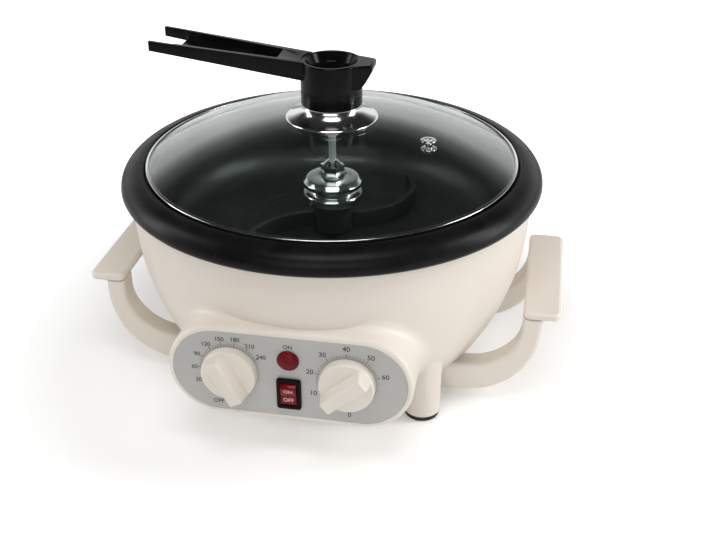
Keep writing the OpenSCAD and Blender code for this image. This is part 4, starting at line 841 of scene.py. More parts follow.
class ROASTER_OT_stage(bpy.types.Operator):
    """Set up the floor, the lamps, the room and the camera"""

    bl_idname = "roaster.stage"
    bl_label = "Stage"

    def execute(self, context):
        stage = context.scene.roaster_stage
        self.camera(context, stage)
        self.floor(stage)
        self.room(context, stage)
        middle = Vector((0, 0, 0.1))
        for name, (at, width, height) in LAMPS.items():
            self.lamp(name + "_lamp", at, middle, width, height, getattr(stage, name + "_power"))
        context.scene.view_settings.view_transform = "Standard"
        return {"FINISHED"}

    def camera(self, context, stage):
        """Camera at the photograph's place."""
        settle()
        bpy.ops.object.camera_add(location=stage.camera_place, rotation=stage.camera_turn)
        camera = context.object
        camera.name = "studio_camera"
        camera.data.sensor_fit = "HORIZONTAL"
        camera.data.sensor_width = 36
        camera.data.lens = stage.lens
        camera.data.clip_start = 0.01
        context.scene.camera = camera

    def floor(self, stage):
        """White floor, which looks lighter to the camera the further it lies from the pot."""
        radius, near_r, far_r, near_lift, far_lift = 20, 0.20, 0.55, 0.15, 1.0
        settle()
        bpy.ops.mesh.primitive_circle_add(vertices=96, radius=radius, fill_type="NGON")
        floor = bpy.context.object
        floor.name = "studio_floor"
        f = Finish("studio_floor_white")
        f.set(Base_Color=stage.floor, Roughness=0.75, Specular_IOR_Level=0.2, Emission_Color=(1, 1, 1))
        away = f.add("ShaderNodeVectorMath", operation="LENGTH")
        f.link(f.coords, away.inputs[0])
        path = f.add("ShaderNodeLightPath")
        seen = f.add("ShaderNodeMath", operation="MAXIMUM")
        f.link(path.outputs["Is Camera Ray"], seen.inputs[0])
        f.link(path.outputs["Is Transmission Ray"], seen.inputs[1])
        lift = f.add("ShaderNodeMath", operation="MULTIPLY")
        f.link(seen.outputs[0], lift.inputs[0])
        f.link(f.spread(away.outputs["Value"], near_lift, far_lift, near_r, far_r), lift.inputs[1])
        f.link(lift.outputs[0], f.shader.inputs["Emission Strength"])
        floor.data.materials.append(f.material)

    def room(self, context, stage):
        """White for the camera, an even light for dull surfaces, and a horizon for mirrors and glass."""
        world = bpy.data.worlds.new("studio_room")
        context.scene.world = world
        world.use_nodes = True
        nodes, links = world.node_tree.nodes, world.node_tree.links
        nodes.clear()
        out = nodes.new("ShaderNodeOutputWorld")
        seen, mirrored_room, light = (nodes.new("ShaderNodeBackground") for _ in range(3))
        light.inputs["Color"].default_value = seen.inputs["Color"].default_value = (1, 1, 1, 1)
        light.inputs["Strength"].default_value = stage.room_level
        links.new(self.horizon(nodes, links), mirrored_room.inputs["Color"])
        path = nodes.new("ShaderNodeLightPath")
        clear = nodes.new("ShaderNodeMath")
        clear.operation = "MAXIMUM"
        links.new(path.outputs["Is Glossy Ray"], clear.inputs[0])
        links.new(path.outputs["Is Transmission Ray"], clear.inputs[1])
        shine, whole = nodes.new("ShaderNodeMixShader"), nodes.new("ShaderNodeMixShader")
        links.new(clear.outputs[0], shine.inputs["Fac"])
        links.new(light.outputs[0], shine.inputs[1])
        links.new(mirrored_room.outputs[0], shine.inputs[2])
        links.new(path.outputs["Is Camera Ray"], whole.inputs["Fac"])
        links.new(shine.outputs[0], whole.inputs[1])
        links.new(seen.outputs[0], whole.inputs[2])
        links.new(whole.outputs[0], out.inputs["Surface"])

    def horizon(self, nodes, links):
        """Grey level that mirrors see: a white band low behind the pot, and a dark room elsewhere."""
        band = ((0.29, 1.0), (0.40, 0.33), (0.50, 0.05), (0.60, 0.0))
        front_y, back_y, darkest = -0.3, 0.25, 0.02
        coords, parts = nodes.new("ShaderNodeTexCoord"), nodes.new("ShaderNodeSeparateXYZ")
        links.new(coords.outputs["Generated"], parts.inputs["Vector"])
        height = nodes.new("ShaderNodeValToRGB")
        stops = height.color_ramp.elements
        for at, grey in band[1:-1]:
            stops.new(at)
        for stop, (at, grey) in zip(stops, band):
            stop.position = at
            stop.color = (grey, grey, grey, 1)
        links.new(parts.outputs["Z"], height.inputs["Fac"])
        behind = nodes.new("ShaderNodeMapRange")
        for key, value in (("From Min", front_y), ("From Max", back_y), ("To Min", 0), ("To Max", 1)):
            behind.inputs[key].default_value = value
        links.new(parts.outputs["Y"], behind.inputs["Value"])
        level = nodes.new("ShaderNodeMath")
        level.operation = "MULTIPLY_ADD"
        level.inputs[2].default_value = darkest
        links.new(height.outputs["Color"], level.inputs[0])
        links.new(behind.outputs["Result"], level.inputs[1])
        return level.outputs[0]

    def lamp(self, name, at, towards, width, height, power):
        """Soft lamp that looks at a point."""
        settle()
        turn = (towards - Vector(at)).to_track_quat("-Z", "Y").to_euler()
        bpy.ops.object.light_add(type="AREA", location=at, rotation=turn)
        lamp = bpy.context.object
        lamp.name = name
        lamp.data.shape = "RECTANGLE"
        lamp.data.size, lamp.data.size_y = width, height
        lamp.data.energy = power


# The bowl and what stands on it

class ROASTER_OT_bowl(bpy.types.Operator):
    """Turn the bowl, grow its foot stubs and cord boss out of it and cut its window"""

    bl_idname = "roaster.bowl"
    bl_label = "Bowl"

    def execute(self, context):
        sizes = context.scene.roaster_sizes
        wall = sizes.shell_wall / MM
        shell = self.shell(wall, sizes.bowl_round / MM)
        room = self.room(wall)
        for part in self.stubs() + [self.cord_boss()]:
            fuse(shell, cut(part, room, keep=True))
        remove(room)
        cut(shell, self.window())
        smooth(shell, 34)
        place(shell, "base", "cream", "outer_shell")
        return {"FINISHED"}

    def shell(self, wall, edge):
        """Bowl with a neck for the pan at its top and a seat for the base plate at its foot."""
        seat_r, seat_low, seat_high, clear = 86, 15.6, 18.6, 0.4
        neck_r, shoulder_z = BOWL_TOP_R - NECK_STEP, BOWL_TOP_Z - wall
        outer = [(r, z, 0) for r, z in bowl_curve()[1:-1]]
        inner = [(r, z, 0) for r, z in reversed(bowl_curve(-wall)) if seat_high + clear < z < shoulder_z]
        corners = [(BOWL_FOOT_R - wall, BOWL_FOOT_Z, clear), (BOWL_FOOT_R, BOWL_FOOT_Z, edge)]
        corners += outer
        corners += [(BOWL_TOP_R, BOWL_TOP_Z, edge), (neck_r, BOWL_TOP_Z, 0.5), (neck_r, NECK_TOP, 0.6)]
        corners += [(neck_r - wall, NECK_TOP, 0.6), (neck_r - wall, shoulder_z, 0)]
        corners += inner
        corners += [(bowl_r(seat_high) - wall, seat_high, 0), (seat_r, seat_high, 0.5)]
        corners += [(seat_r, seat_low, 0.5), (BOWL_FOOT_R - wall, seat_low, 0)]
        return turned_pot("bowl_shell", eased(corners, 4))

    def room(self, wall):
        """Room inside the bowl, which its stubs and its boss must not fill."""
        below = 4
        line = [(0, BOWL_FOOT_Z - below), (BOWL_FOOT_R - wall, BOWL_FOOT_Z - below)]
        line += [(r, z) for r, z in bowl_curve(-wall) if z < BOWL_TOP_Z - wall]
        line += [(0, line[-1][1])]
        return turned_pot("bowl_room", line, closed=False)

    def stubs(self):
        """Four round stubs, each with a blind hole for its rubber foot."""
        stub_r, low, high, hole_r, hole_top = 13, 4.1, 54, 4.2, 13.2
        outline = eased([(hole_r, low, 0), (stub_r, low, 0.9), (stub_r, high, 0), (0, high, 0),
                         (0, hole_top, 0), (hole_r, hole_top, 0)], 4)
        return at_feet(turned_upright("stub", outline, 48))

    def cord_boss(self):
        """Flat round boss for the cord gland, low at the back."""
        low, high = box_mm("cord_gland")
        collar, hole_r, boss_r, inside = 6, 7.7, 12.5, -90
        face = AXIS_MM - high.y + collar
        corners = [(hole_r, inside, 0), (hole_r, face, 0.3), (boss_r, face, 0.8), (boss_r, inside, 0)]
        return turned_front("cord_boss", eased(corners, 4), 0, (low.z + high.z) / 2)

    def window(self):
        """Cutter for the opening behind the fascia."""
        margin, inside, outside = 2.8, 60, 150
        outline = obround(FASCIA_W - 2 * margin, FASCIA_H - 2 * margin, FASCIA_Z)
        return front_slab("window", outline, inside, outside)


class ROASTER_OT_control_housing(bpy.types.Operator):
    """Model the housing of the controls, with its recess and the rounding into the bowl"""

    bl_idname = "roaster.control_housing"
    bl_label = "Control housing"

    def execute(self, context):
        sizes = context.scene.roaster_sizes
        low, high = box_mm("control_housing")
        width, height, face = high.x - low.x, high.z - low.z, AXIS_MM - low.y
        inside, slack, recess_depth, wall = 60, 0.2, 2.2, 2.6
        body = front_slab("housing", obround(width, height, FASCIA_Z), inside, face)
        round_edges(body, sizes.housing_round, 5, 60)
        plate = obround(FASCIA_W + 2 * slack, FASCIA_H + 2 * slack, FASCIA_Z)
        cut(body, front_slab("recess", plate, face - recess_depth, face + recess_depth))
        cut(body, front_slab("hollow", plate, inside - wall, face - recess_depth - wall))
        cut(body, bowl_block())
        smooth(body, 34)
        fillet = self.fillet(sizes.housing_fillet / MM, obround(width, height, FASCIA_Z, 40))
        piece = join([body, fillet])
        piece.name = "control_housing_shell"
        place(piece, "base", "cream", "control_housing")
        return {"FINISHED"}

    def fillet(self, radius, outline):
        """Ring of a soft corner between the housing's side and the bowl, each section laid on both."""
        arc_steps, count, root, front_gap = 8, len(outline), 1.5, 3
        settle()
        bpy.ops.mesh.primitive_torus_add(major_segments=count, minor_segments=arc_steps + 2)
        ring = bpy.context.object
        ring.name = "housing_fillet"
        points = []
        for i, here in enumerate(outline):
            middle = Vector(here)
            along = (Vector(outline[(i + 1) % count]) - Vector(outline[i - 1])).normalized()
            away = Vector((along.y, -along.x))
            meet = self.bowl_out(middle)
            side = front(middle.x, middle.y, min(meet + radius, FASCIA_Y - front_gap))
            corner = front(middle.x, middle.y, meet)
            far = middle + away * radius
            foot = front(far.x, far.y, self.bowl_out(far))
            for k in range(arc_steps + 1):
                t = k / arc_steps
                points.append(side * (1 - t) ** 2 + corner * (2 * t * (1 - t)) + foot * t * t)
            within = middle - away * root
            points.append(front(within.x, within.y, meet - root))
        for vertex, point in zip(ring.data.vertices, points):
            vertex.co = point
        bpy.ops.object.mode_set(mode="EDIT")
        return close(ring, 60)

    def bowl_out(self, point):
        """How far in front of the axis the bowl's surface lies, at a point in X and Z."""
        lift = 0.02
        return math.sqrt(max(bowl_r(point.y) ** 2 - point.x ** 2, 1.0)) + lift


class ROASTER_OT_handles(bpy.types.Operator):
    """Model the right handle's legs and grip with rounded edges and mirror them to the left"""

    bl_idname = "roaster.handles"
    bl_label = "Side handles"

    def execute(self, context):
        sizes = context.scene.roaster_sizes
        low, high = box_mm("right_grip")
        corner_r = 5
        corners = [(low.x, low.y), (high.x, low.y), (high.x, high.y), (low.x, high.y)]
        outline = eased([(x, y, corner_r) for x, y in corners], 8)
        points = [Vector((x, y, low.z)) * MM for x, y in outline]
        grip = slab("right_grip_bar", points, Vector((0, 0, high.z - low.z)) * MM)
        round_edges(grip, sizes.grip_round, 5)
        legs = self.legs(sizes, low.x, low.z, high.y - low.y)
        left_grip, left_legs = mirrored(grip, "left_grip_bar"), mirrored(legs, "left_legs")
        place(grip, "base", "cream", "right_grip")
        place(legs, "base", "cream", "right_handle_legs")
        place(left_grip, "base", "cream", "left_grip")
        place(left_legs, "base", "cream", "left_handle_legs")
        return {"FINISHED"}

    def legs(self, sizes, inner, under, length):
        """Two legs, each swept in a bend from the tab under the bowl up to the grip."""
        bend_x, bend_z, tab_in, tab_z = BOWL_TOP_R - 37, 64, 72.9, 8.9
        root, top, width, spare, gap = 21, 13.5, 19, 8, 0.1
        outer = bend(bend_x, bend_z, inner + top - bend_x, bend_z - tab_z, 26)
        inside = bend(bend_x, bend_z, inner - bend_x, bend_z - tab_z - root, 26)
        outline = [(tab_in, tab_z)] + outer + [(inner + top, under + spare), (inner, under + spare)]
        outline += list(reversed(inside)) + [(tab_in, tab_z + root)]
        front_y = AXIS_MM - length / 2
        points = [Vector((x, front_y, z)) * MM for x, z in outline]
        leg = slab("right_legs", points, Vector((0, width, 0)) * MM)
        round_edges(leg, sizes.leg_round, 5, 60)
        level(leg, (under - gap) * MM)
        back = shifted(copy_of(leg, "leg_back"), Vector((0, length - width, 0)) * MM)
        legs = join([leg, back])
        cut(legs, bowl_block())
        smooth(legs, 34)
        return legs


class ROASTER_OT_feet(bpy.types.Operator):
    """Turn one ribbed rubber foot and copy it under each stub"""

    bl_idname = "roaster.feet"
    bl_label = "Feet"

    def execute(self, context):
        height, pin_r, pin_top, crown, toe, draft = 4, 4, 13, 0.4, 0.8, 0.3
        dish_r, dish, slope = 8, 0.35, 0.5
        low_rib, groove_z, high_rib, groove = 0.9, 1.9, 2.9, 0.4
        outline = [(0, dish, 0), (dish_r - slope, dish, 0.2), (dish_r, 0, 0.2), (FOOT_R - toe, 0, 0.5)]
        outline += [(FOOT_R, low_rib, 0.4), (FOOT_R - groove, groove_z, 0.3), (FOOT_R, high_rib, 0.4)]
        outline += [(FOOT_R - draft, height, 0.3), (pin_r, height, 0.2)]
        outline += [(pin_r, pin_top - crown, 0.5), (0, pin_top, 0)]
        foot = turned_upright("foot", eased(outline, 3, closed=False), 48, closed=False)
        piece = join(at_feet(foot))
        piece.name = "rubber_feet"
        place(piece, "base", "rubber", "foot_pads")
        return {"FINISHED"}


# The rim, the pan and the stirrer

class ROASTER_OT_rim(bpy.types.Operator):
    """Turn the convex rim ring with its ledge and rolled hem"""

    bl_idname = "roaster.rim"
    bl_label = "Rim ring"

    def execute(self, context):
        low, high = box_mm("rim_ring")
        inner_r, crown_r, ledge_r = 133.2, 134.7, 126.8
        hem, tuck, wall, ledge_low, ledge_high, lip = 4.7, 5.5, 3.0, 151.7, 153.9, 1.5
        wide, wide_z = high.x, low.z + hem
        outer = bend(crown_r, wide_z, wide - crown_r, wide_z - high.z, 30)
        inside = bend(crown_r, wide_z, wide - wall - crown_r, wide_z - high.z + wall, 30)
        under = bend(wide - tuck, wide_z, tuck, hem, 30)
        curl = bend(wide - tuck, wide_z, tuck - wall, hem - wall, 30)
        line = outer + list(reversed(under))[1:] + curl[:-1] + list(reversed(inside))
        corners = [(ledge_r, ledge_low, 0.3), (ledge_r, ledge_high, 0.5)]
        corners += [(inner_r, ledge_high, 0.6), (inner_r, high.z - lip, 0.8)]
        corners += [(r, z, 0) for r, z in line] + [(crown_r, ledge_low, 0)]
        place(turned_pot("rim_shell", eased(corners, 4), 160, 40), "base", "rim_black", "rim_ring")
        return {"FINISHED"}


class ROASTER_OT_pan(bpy.types.Operator):
    """Turn the roasting pan with its lip, its bend, a groove in its floor and its middle boss"""

    bl_idname = "roaster.pan"
    bl_label = "Roasting pan"

    def execute(self, context):
        low, high = box_mm("roasting_pan")
        floor_r, bend_r, mouth_r, boss_r, bore_r, boss_z = 98, 22, 125.8, 9.4, 6.5, 116
        wall, floor, lip_r, lip_z = 2, low.z + 2, high.x, high.z
        groove_in, groove_out, groove_deep, slope = 63, 72, 0.5, 1
        under = bend(floor_r, floor + bend_r, bend_r + wall, bend_r + wall, 16)
        inside = bend(floor_r, floor + bend_r, bend_r, bend_r, 16)
        corners = [(bore_r, floor - wall, 0)] + [(r, z, 0) for r, z in under]
        corners += [(mouth_r + wall, lip_z - wall, 1.0), (lip_r, lip_z - wall, 0.4), (lip_r, lip_z, 0.4)]
        corners += [(mouth_r, lip_z, 1.6)] + [(r, z, 0) for r, z in reversed(inside)]
        corners += [(groove_out, floor, 0.6), (groove_out - slope, floor - groove_deep, 0.6)]
        corners += [(groove_in + slope, floor - groove_deep, 0.6), (groove_in, floor, 0.6)]
        corners += [(boss_r, floor, 2.0), (boss_r, boss_z, 0.8), (bore_r, boss_z, 0.3)]
        place(turned_pot("pan_body", eased(corners, 4), 144, 40), "base", "nonstick", "roasting_pan")
        return {"FINISHED"}


class ROASTER_OT_stirrer(bpy.types.Operator):
    """Turn the spool hub, and round the edges of the blades and of the hub's nut"""

    bl_idname = "roaster.stirrer"
    bl_label = "Stirrer"

    def execute(self, context):
        low, high = box_mm("stirrer_hub")
        z, r, top, waist_r, bore_r, seat_r, ease = low.z, high.x, high.z, 17, 4.1, 11, 0.6
        waist_low, waist_high, seat = z + 6, z + 11, 0.4
        shoulder, slant_r, slant_h, blade_edge, nut_edge = 1, 3, 2.8, 0.0008, 0.0004
        corners = [(bore_r, z, 0.2), (r - ease, z, 0.6), (r, z + 2 * ease, 0.8)]
        corners += [(r, waist_low - 2 * ease, 0.8), (r - ease, waist_low, 0.5)]
        corners += [(waist_r, waist_low, 0.8), (waist_r, waist_high, 0.8)]
        corners += [(r - seat, waist_high, 0.5), (r, waist_high + shoulder, 0.6)]
        corners += [(r, top - slant_h, 1.2), (r - slant_r, top, 1.4)]
        corners += [(seat_r, top, 0.3), (seat_r - ease, top - seat, 0.3), (bore_r, top - seat, 0.2)]
        hub = turned_pot("hub_spool", eased(corners, 4), 96, 40)
        place(hub, "stirrer", SLOT_OF["stirrer_hub"], "stirrer_hub")
        blades = softened("stirrer_blades", "blade_pair", blade_edge, 3)
        place(blades, "stirrer", SLOT_OF["stirrer_blades"], "stirrer_blades")
        nut = softened("hub_nut", "hub_nut_hex", nut_edge)
        place(nut, "stirrer", SLOT_OF["hub_nut"], "hub_nut")
        return {"FINISHED"}


# The lid

class ROASTER_OT_lid(bpy.types.Operator):
    """Turn the glass dome, its bright edge band, its vent eyelet and the bright flange"""

    bl_idname = "roaster.lid"
    bl_label = "Lid"

    def execute(self, context):
        low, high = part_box("vent_eyelet")
        vent = (low + high) / 2
        self.dome(vent)
        self.band()
        self.eyelet(vent, (high.z - low.z) / 2 / MM)
        self.flange()
        return {"FINISHED"}

    def dome(self, vent):
        """Dome of even thickness with a hole at its top and one for the vent."""
        hole_r, steps, edge = 5.2, 40, 0.9
        drill_r, drill_reach = 2.6, 12
        radii = [hole_r + (GLASS_R - hole_r) * i / steps for i in range(steps + 1)]
        top = [(r, dome_z(r), edge if r in (radii[0], radii[-1]) else 0) for r in radii]
        under = [(r, z - GLASS_T, ease) for r, z, ease in reversed(top)]
        dome = turned_pot("lid_dome", eased(top + under, 4), 160, 40)
        bit = [(0, -drill_reach), (drill_r, -drill_reach), (drill_r, drill_reach), (0, drill_reach)]
        cut(dome, turned_upright("drill", bit, 48, closed=False, middle=vent))
        smooth(dome, 40)
        place(dome, "lid", "glass", "lid_glass")

    def band(self):
        """Thin band folded over the glass's edge and turned in under it."""
        low, high = box_mm("lid_band")
        sheet, fold_r, hem_r, slack = 0.6, 130, 127.6, 0.1
        top, fold, r = dome_z(GLASS_R), dome_z(fold_r), high.x
        corners = [(hem_r, low.z, 0.2), (r, low.z, 0.4), (r, top + sheet, 0.5)]
        corners += [(fold_r, fold + sheet + slack, 0.25), (fold_r, fold + slack, 0.1)]
        corners += [(r - sheet, top + slack, 0.1)]
        corners += [(r - sheet, low.z + sheet, 0.1), (hem_r, low.z + sheet, 0.2)]
        band = turned_pot("lid_edge_band", eased(corners, 3), 160, 40)
        place(band, "lid", SLOT_OF["lid_band"], "lid_band")

    def eyelet(self, vent, half):
        """Hollow rivet with a rounded flange on each side of the glass."""
        hole_r, neck_r, flange_r, flange_t, crown = 1.5, 2.5, 5.5, 1, 0.3
        corners = [(hole_r, -half, 0.5), (flange_r, -half, 0.45), (flange_r, flange_t - half, 0.45)]
        corners += [(neck_r, flange_t - half, 0.1), (neck_r, half - flange_t, 0.1)]
        corners += [(flange_r, half - flange_t, 0.45), (flange_r - crown, half, 0.6), (hole_r, half, 0.6)]
        rivet = turned_upright("vent_rivet", eased(corners, 4), 48, middle=vent)
        place(rivet, "lid", SLOT_OF["vent_eyelet"], "vent_eyelet")

    def flange(self):
        """Trumpet-shaped flange, wide on the glass and narrow under the handle."""
        low, high = box_mm("lid_flange")
        sheet, drop, hole_r, foot, lip, brim, nose, slack = 1.4, 0.6, 5.3, 1.2, 1.5, 1.6, 0.5, 0.2
        flare, rise, steps = 1.7, 1.15, 20
        narrow = STEM_R - slack
        outer = []
        for i in range(steps + 1):
            t = i / steps
            r = high.x - (high.x - narrow) * (1 - (1 - t) ** flare)
            outer.append((r, low.z + foot + (high.z - low.z - foot) * t ** rise, 0))
        inner = [(r - sheet, z - drop, 0) for r, z, ease in reversed(outer[:-3])]
        corners = [(high.x - brim, low.z + nose, 0.2), (high.x - nose, low.z, 0.3)]
        corners += [(high.x, low.z + drop, 0.4)]
        corners += outer[1:] + [(hole_r, high.z, 0.2), (hole_r, high.z - lip, 0.2)] + inner
        flange = turned_pot("bright_flange", eased(corners, 3), 96, 40)
        place(flange, "lid", SLOT_OF["lid_flange"], "lid_flange")


class ROASTER_OT_lid_handle(bpy.types.Operator):
    """Model the lid handle, a turned stem with a cup and a channelled arm, and wind the hold-down spring"""

    bl_idname = "roaster.lid_handle"
    bl_label = "Lid handle"

    def execute(self, context):
        sizes = context.scene.roaster_sizes
        stem_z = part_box("lid_handle")[0].z / MM
        cup_top = stem_z + 30.5
        stem, arm, lip = self.stem(stem_z, cup_top), self.arm(stem_z, cup_top), self.lip(cup_top)
        skin, over = 1, 30
        core_r, low, high = STEM_R - skin, stem_z - over, cup_top + over
        core = turned_pot("stem_core", [(0, low), (core_r, low), (core_r, high), (0, high)], closed=False)
        for part, width in ((arm, sizes.handle_round), (lip, 2 * sizes.handle_round)):
            round_edges(part, width, 4, 30)
            cut(part, core, keep=True)
            smooth(part, 40)
        remove(core)
        handle = join([stem, arm, lip])
        handle.name = "cup_handle"
        place(handle, "lid", "handle_black", "lid_handle")
        self.spring(sizes.coil_wire)
        return {"FINISHED"}

    def stem(self, stem_z, cup_top):
        """Round post with a dish in its top and a blind room for the spring in its foot."""
        hole_r, room_r, room_low, room_high = 5.05, 8, stem_z + 8, stem_z + 23
        dish_r, dish_floor_r, dish_deep = 18.5, 14.8, 7
        corners = [(hole_r, stem_z, 0.2), (STEM_R, stem_z, 0.6), (STEM_R, cup_top, 1.0)]
        corners += [(dish_r, cup_top, 0.9), (dish_floor_r, cup_top - dish_deep, 2.5)]
        corners += [(0, cup_top - dish_deep, 0)]
        corners += [(0, room_high, 0), (room_r, room_high, 0), (room_r, room_low, 0), (hole_r, room_low, 0)]
        return turned_pot("stem", eased(corners, 5), 96, 40)

    def arm(self, stem_z, cup_top):
        """Tapered bar with a channel along its top and a notch through its end."""
        reach, root, web, past, wall = 123.5, STEM_R / 2, 14, 4, 3
        root_half, tip_half, root_h, tip_low, tip_high = 12.5, 18.75, 13, 5, 11.5
        notch_len, notch_h, corner_r, above, edge = 18, 90, 3, 30, 0.0016
        bar = self.wedge("arm", (root, root_half, cup_top - root_h, cup_top),
                         (reach, tip_half, cup_top + tip_low, cup_top + tip_high))
        start, end = STEM_R + web, reach + past
        rise = (root_h + tip_low) / (reach - root)
        widen = (tip_half - root_half) / (reach - start)
        near_low, far_low = (cup_top - root_h + wall + rise * (x - root) for x in (start, end))
        near_half, far_half = root_half - wall, tip_half - wall + widen * past
        channel = self.wedge("channel", (start, near_half, near_low, cup_top + above),
                             (end, far_half, far_low, cup_top + above))
        cut(bar, round_edges(channel, edge, 4))
        half = tip_half - wall
        corners = eased([(-end, -half, 0), (-end, half, 0), (notch_len - reach, half, corner_r),
                         (notch_len - reach, -half, corner_r)], 5)
        points = [Vector((x, AXIS_MM + y, stem_z)) * MM for x, y in corners]
        return cut(bar, slab("notch", points, Vector((0, 0, notch_h)) * MM))

    def lip(self, cup_top):
        """Lip for the thumb opposite the arm, which flares out and narrows to its tip."""
        reach, height, edge, root_half, tip_half, curve, steps = 30, 17, 4, 19.5, 9, 1.25, 8
        outline = [(0, cup_top), (0, cup_top - height)]
        for i in range(steps + 1):
            t = i / steps
            outline.append((STEM_R + (reach - STEM_R) * t, cup_top - height + (height - edge) * t ** curve))
        outline.append((reach, cup_top))
        points = [Vector((x, AXIS_MM - root_half, z)) * MM for x, z in outline]
        lip = slab("lip", points, Vector((0, 2 * root_half, 0)) * MM)
        for vertex in lip.data.vertices:
            half = root_half + (tip_half - root_half) * vertex.co.x / MM / reach
            vertex.co.y = AXIS_Y + math.copysign(half, vertex.co.y - AXIS_Y) * MM
        return lip

    def wedge(self, name, near_end, far_end):
        """Cube drawn out towards -X; an end is its distance, its half width, its low and its high side."""
        settle()
        bpy.ops.mesh.primitive_cube_add(size=2, location=(0, 0, 0))
        block = bpy.context.object
        block.name = name
        for vertex in block.data.vertices:
            x, half, low, high = far_end if vertex.co.x < 0 else near_end
            z = high if vertex.co.z > 0 else low
            vertex.co = Vector((-x, AXIS_MM + math.copysign(half, vertex.co.y), z)) * MM
        return block

    def spring(self, wire):
        """Coil wound from a wire's section."""
        low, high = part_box("rod_spring")
        turns, ring, steps, stroke = 6, 12, 28, 5 * MM
        place_of_wire = ((high.x - low.x) / 2 - wire, AXIS_Y, low.z + wire)
        settle()
        bpy.ops.mesh.primitive_circle_add(
            vertices=ring, radius=wire, location=place_of_wire, rotation=(math.pi / 2, 0, 0))
        coil = bpy.context.object
        coil.name = "hold_down_spring"
        bpy.ops.object.transform_apply(location=True, rotation=True, scale=True)
        bpy.ops.object.mode_set(mode="EDIT")
        bpy.ops.mesh.select_all(action="SELECT")
        bpy.ops.mesh.spin(steps=turns * steps, angle=turns * 2 * math.pi, center=(0, AXIS_Y, 0),
                          axis=(0, 0, 1), use_auto_merge=False)
        settle()
        rise = (high.z - low.z - 2 * wire) / (turns * steps)
        for index, vertex in enumerate(coil.data.vertices):
            vertex.co.z += rise * (index // ring)
        pick(coil)
        bpy.ops.object.mode_set(mode="EDIT")
        bpy.ops.mesh.select_mode(type="EDGE")
        bpy.ops.mesh.select_all(action="DESELECT")
        bpy.ops.mesh.select_non_manifold()
        bpy.ops.mesh.fill()
        close(coil, 60)
        place(coil, "lid", SLOT_OF["rod_spring"], "rod_spring")
        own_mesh(coil)


# The control panel

class ROASTER_OT_dials(bpy.types.Operator):
    """Model one dial for each control: a hollow skirt and a tapered bar across it"""

    bl_idname = "roaster.dials"
    bl_label = "Dials"

    def execute(self, context):
        edge = context.scene.roaster_sizes.dial_round
        self.dial("temperature_dial", "temperature_knob", "temperature_control", TEMPERATURE_REST, edge)
        self.dial("timer_dial", "timer_knob", "timer_control", TIMER_REST, edge)
        return {"FINISHED"}

    def dial(self, node, name, body, angle, edge):
        """Dial with its bar at an angle, trimmed to the skirt's round."""
        low, high = box_mm(node)
        x, z, r = (low.x + high.x) / 2, (low.z + high.z) / 2, (high.x - low.x) / 2
        back, tip = AXIS_MM - high.y, AXIS_MM - low.y
        skirt = self.skirt(x, z, r, back)
        bar = self.bar(r, back, tip, edge)
        pick(bar)
        bpy.ops.transform.rotate(value=math.radians(angle), orient_axis="Y", center_override=(0, 0, 0))
        bpy.ops.object.transform_apply(location=True, rotation=True, scale=True)
        shifted(bar, Vector((x, 0, z)) * MM)
        waste, foot_share, tip_share = 8, 0.965, 0.93
        trim = [(r * foot_share, back - waste), (r + waste, back - waste), (r + waste, tip + waste)]
        trim += [(r * tip_share, tip + waste)]
        cut(bar, turned_front("trim", trim, x, z, 96))
        round_edges(bar, edge / 3, 2)
        piece = join([skirt, bar])
        piece.name = name
        place(piece, body, SLOT_OF[node], node)

    def skirt(self, x, z, r, back):
        """Round foot of a dial, hollow behind, with a hole for the spindle."""
        height, crown, draft, shaft_r, shaft_deep = 7, 0.6, 0.5, 3.1, 11
        hollow_r, hollow_deep = 8.8, 3.6
        corners = [(shaft_r, back + hollow_deep, 0), (hollow_r, back + hollow_deep, 0)]
        corners += [(hollow_r, back, 0.2), (r, back, 0.4)]
        corners += [(r - draft, back + height, 1.4), (0, back + height + crown, 0)]
        corners += [(0, back + shaft_deep, 0), (shaft_r, back + shaft_deep, 0)]
        return turned_front("skirt", eased(corners, 5), x, z, 96)

    def bar(self, r, back, tip, edge):
        """Bar across a dial, narrower at its top."""
        long, wide, root, taper, shorten = r * 0.95, 7.0, 3, 0.62, 0.93
        outline = [(-long, -wide), (long, -wide), (long, wide), (-long, wide)]
        bar = front_slab("bar", outline, back + root, tip)
        for vertex in bar.data.vertices:
            if AXIS_Y - vertex.co.y > (back + tip) / 2 * MM:
                vertex.co.z *= taper
                vertex.co.x *= shorten
        return round_edges(bar, edge, 4)


